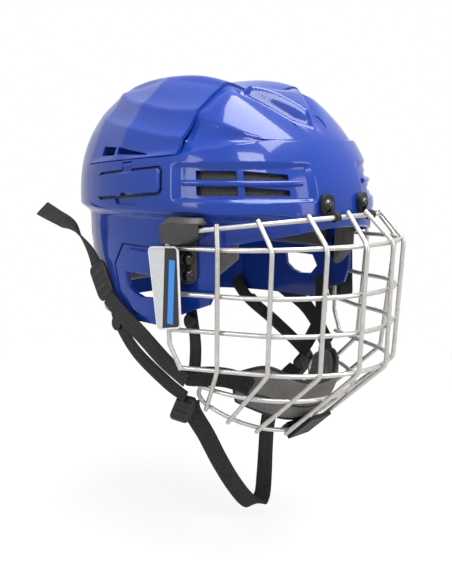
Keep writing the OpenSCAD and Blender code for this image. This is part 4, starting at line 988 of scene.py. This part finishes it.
def facing(phi):
    """Outward direction, level, of the skin at a bearing on the front half."""
    r = math.radians(phi)
    sx, cy = spow(math.sin(r), 2 / plan_n), -spow(math.cos(r), 2 / plan_n)
    return unit([spow(sx, plan_n - 1) / shell_half_w, spow(cy, plan_n - 1) / shell_front, 0])


def dome_screw(name, seat_and_gap_shade, axis, head_d, head_h, grip):
    """Screw with a domed head on a thin brim, and a nut on the inside."""
    turn = np.linspace(0, math.pi / 2, 12)[1:]
    rise = np.concatenate([[-grip - nut_t, -grip, -grip, 0, 0, brim], brim + (head_h - brim) * np.sin(turn)])
    wide = np.concatenate([[nut_r, nut_r, stem_r, stem_r, head_d / 2 + brim, head_d / 2 + brim],
                           head_d / 2 * np.cos(turn)])
    ang = np.linspace(0, 2 * math.pi, 36, endpoint=False)
    ring = np.cos(ang)[:, None] * np.cross(axis, UP) + np.sin(ang)[:, None] * UP
    rings = seat_and_gap_shade + rise[:, None, None] * axis + wide[:, None, None] * ring
    return loft(name, rings, 40, cap_last=False)


arm_seat = skin(side_clip_phi, hood_z) * (1, 1, 0)
out_dir, front_dir = facing(side_clip_phi), facing(clip_phi)
screws = join("side_screws_fine_left",
              [dome_screw("c", arm_seat + (0, 0, z) + out_dir * (arm_off + arm_t), out_dir, screw_head_d, 3.6,
                          arm_off + arm_t + shell_wall + 1.6) for z in side_screw_z], 40)
cap_seat = skin(clip_phi, clip_z, clip_off) + front_dir * clip_base_t
cap = dome_screw("forehead_screw_fine_left", cap_seat, front_dir, clip_head_d - 0.6, 3.2,
                 clip_off + clip_base_t + shell_wall + 1)
for made, stem in ((screws, "side_screws_"), (cap, "forehead_screw_")):
    for ob, side in pair(made, stem + "fine"):
        dress(ob, M_SCREW, "helmet", [stem + side])


def hull(points):
    me = bpy.data.meshes.new("c")
    bm = bmesh.new()
    for q in points:
        bm.verts.new(np.array(q) * MM)
    made = bmesh.ops.convex_hull(bm, input=bm.verts)
    spare = [g for g in made["geom_interior"] if isinstance(g, bmesh.types.BMVert)]
    bmesh.ops.delete(bm, geom=spare, context="VERTS")
    bmesh.ops.dissolve_limit(bm, angle_limit=0.02, verts=bm.verts, edges=bm.edges)
    bm.to_mesh(me)
    bm.free()
    return link("c", me)


def side_hood():
    """Chamfered hood over the end of the brow wire, open below and inside."""
    rims = {hood_z: [(97, -37), (102.5, -37), (102.5, -55), (93, -57.5)],
            57.5: [(98.6, -63), (92, -68), (86.5, -68)],
            63.5: [(97, -35), (102.5, -35)],
            66.5: [(102.5, -44), (102.5, -56.6), (98.6, -63), (92, -68), (86.5, -68)],
            70.0: [(96, -43.5), (99.6, -43.5), (99.6, -55.5), (96.4, -61), (91, -65.5), (87.8, -66)]}
    cavity = [(81, -76), (92.6, -57), (94.6, -53), (94.6, -37.8), (100.3, -37.8), (100.3, -56), (96.5, -62),
              (88, -76)]
    hood = hull([(x, y, z) for z, rim in rims.items() for x, y in rim])
    return cut(hood, [loft("c", [[(x, y, z) for x, y in cavity] for z in (hood_z - 1, hood_step)])])


def side_arm():
    """Flat arm that holds the two screws, with a round lower end and a stepped edge."""
    half, top = arm_w / 2, arm_off + arm_t
    turns = np.linspace(math.pi, 2 * math.pi, 25)
    edge = np.array([(half * math.cos(t), arm_low + half + half * math.sin(t)) for t in turns]
                    + [(half, hood_step), (-half, hood_step)])
    from_mid = edge - (0, arm_mid)
    inward = from_mid / np.linalg.norm(from_mid, axis=1)[:, None]
    along = np.array([-out_dir[1], out_dir[0], 0])
    rings = []
    for o, inset in ((arm_off, 0), (top - 0.6, 0), (top, 0.7), (top, 1.5), (top - 0.4, 1.9)):
        q = edge - inward * inset
        rings.append(arm_seat + out_dir * o + q[:, :1] * along + q[:, 1:] * UP)
    return loft("c", rings)


for ob, side in pair(join("side_clip_fine_left", [side_hood(), side_arm()], 30), "side_clip_fine"):
    dress(ob, M_HOOD, "helmet", ["side_clip_" + side])
    soften(ob, 0.9, 25)


# Pieces kept from the CAD model
kept = {
    M_WIRE: ["cage_frame", "cage_cross_bars", "cage_chin_bar", "cage_uprights",
             "latch_pin_right", "latch_pin_left"],
    M_PLATE: ["side_plate_right", "side_plate_left"],
    M_FOIL: ["plate_foil_right", "plate_foil_left"],
    M_RUBBER: ["chin_tab"],
    M_BLACK: ["forehead_clip_right", "forehead_clip_left", "strap_snaps"],
}
for mat, names in kept.items():
    for name in names:
        ob = nodes[name]
        ob.data.materials.clear()
        ob.data.materials.append(mat)
        if mat in (M_BLACK, M_RUBBER):
            soften(ob, 0.9, 50)


# Floor and surroundings, in metres: white to the camera and to reflections, with a faint shadow on the floor
floor_z, floor_half = cad_box[0][2] - 0.012, 6
corners = [(x * floor_half, y * floor_half, floor_z) for x, y in ((-1, -1), (1, -1), (1, 1), (-1, 1))]
me = bpy.data.meshes.new("floor")
me.from_pydata(corners, [], [(0, 1, 2, 3)])
floor = link("floor", me)
mat = bpy.data.materials.new("floor_white")
world = bpy.data.worlds.new("studio")
scene.world = world
for data in (mat, world):
    data.use_nodes = True
    data.node_tree.nodes.clear()

t = mat.node_tree
path = add_node(t, "LightPath")
seen = add_node(t, "Math", {0: path["Is Camera Ray"], 1: path["Is Glossy Ray"]}, operation="MAXIMUM")
away = add_node(t, "VectorMath", {0: add_node(t, "TexCoord")["Object"]}, operation="LENGTH")
fade = add_node(t, "MapRange", {"Value": away["Value"], "From Min": 0.25, "From Max": 0.75,
                                "To Min": 0.86, "To Max": 1.0}, interpolation_type="SMOOTHSTEP")
fac = add_node(t, "Math", {0: seen[0], 1: fade["Result"]}, operation="MULTIPLY")
diffuse = add_node(t, "BsdfDiffuse", {"Color": (0.88, 0.88, 0.88, 1)})
emit = add_node(t, "Emission", {"Strength": 1.0})
mix = add_node(t, "MixShader", {0: fac[0], 1: diffuse[0], 2: emit[0]})
add_node(t, "OutputMaterial", {"Surface": mix[0]})
floor.data.materials.append(mat)

t = world.node_tree
path = add_node(t, "LightPath")
seen = add_node(t, "Math", {0: path["Is Camera Ray"], 1: path["Is Transmission Ray"]}, operation="MAXIMUM")
seen = add_node(t, "Math", {0: seen[0], 1: path["Is Glossy Ray"]}, operation="MAXIMUM")
dim = add_node(t, "Background", {"Color": (1, 1, 1, 1), "Strength": 0.36})
white = add_node(t, "Background", {"Color": (1, 1, 1, 1), "Strength": 1.0})
mix = add_node(t, "MixShader", {0: seen[0], 1: dim[0], 2: white[0]})
add_node(t, "OutputWorld", {"Surface": mix[0]})


def area(name, place, target, size, size_y, power):
    d = bpy.data.lights.new(name, "AREA")
    d.shape, d.size, d.size_y, d.energy = "RECTANGLE", size, size_y, power
    aim(link(name, d), place, target)


area("key_top", (0.10, -0.28, 1.22), (0, -0.02, 0.08), 0.8, 0.9, 33)
area("key_front", (-0.55, -0.75, 0.95), (0, 0, 0.08), 0.5, 0.35, 9)
area("fill_left", (-1.4, 0.15, 0.55), (0, 0, 0.05), 0.3, 1.0, 7)
area("fill_front", (0.35, -1.6, 0.45), (0, 0, 0.0), 0.4, 1.0, 7)
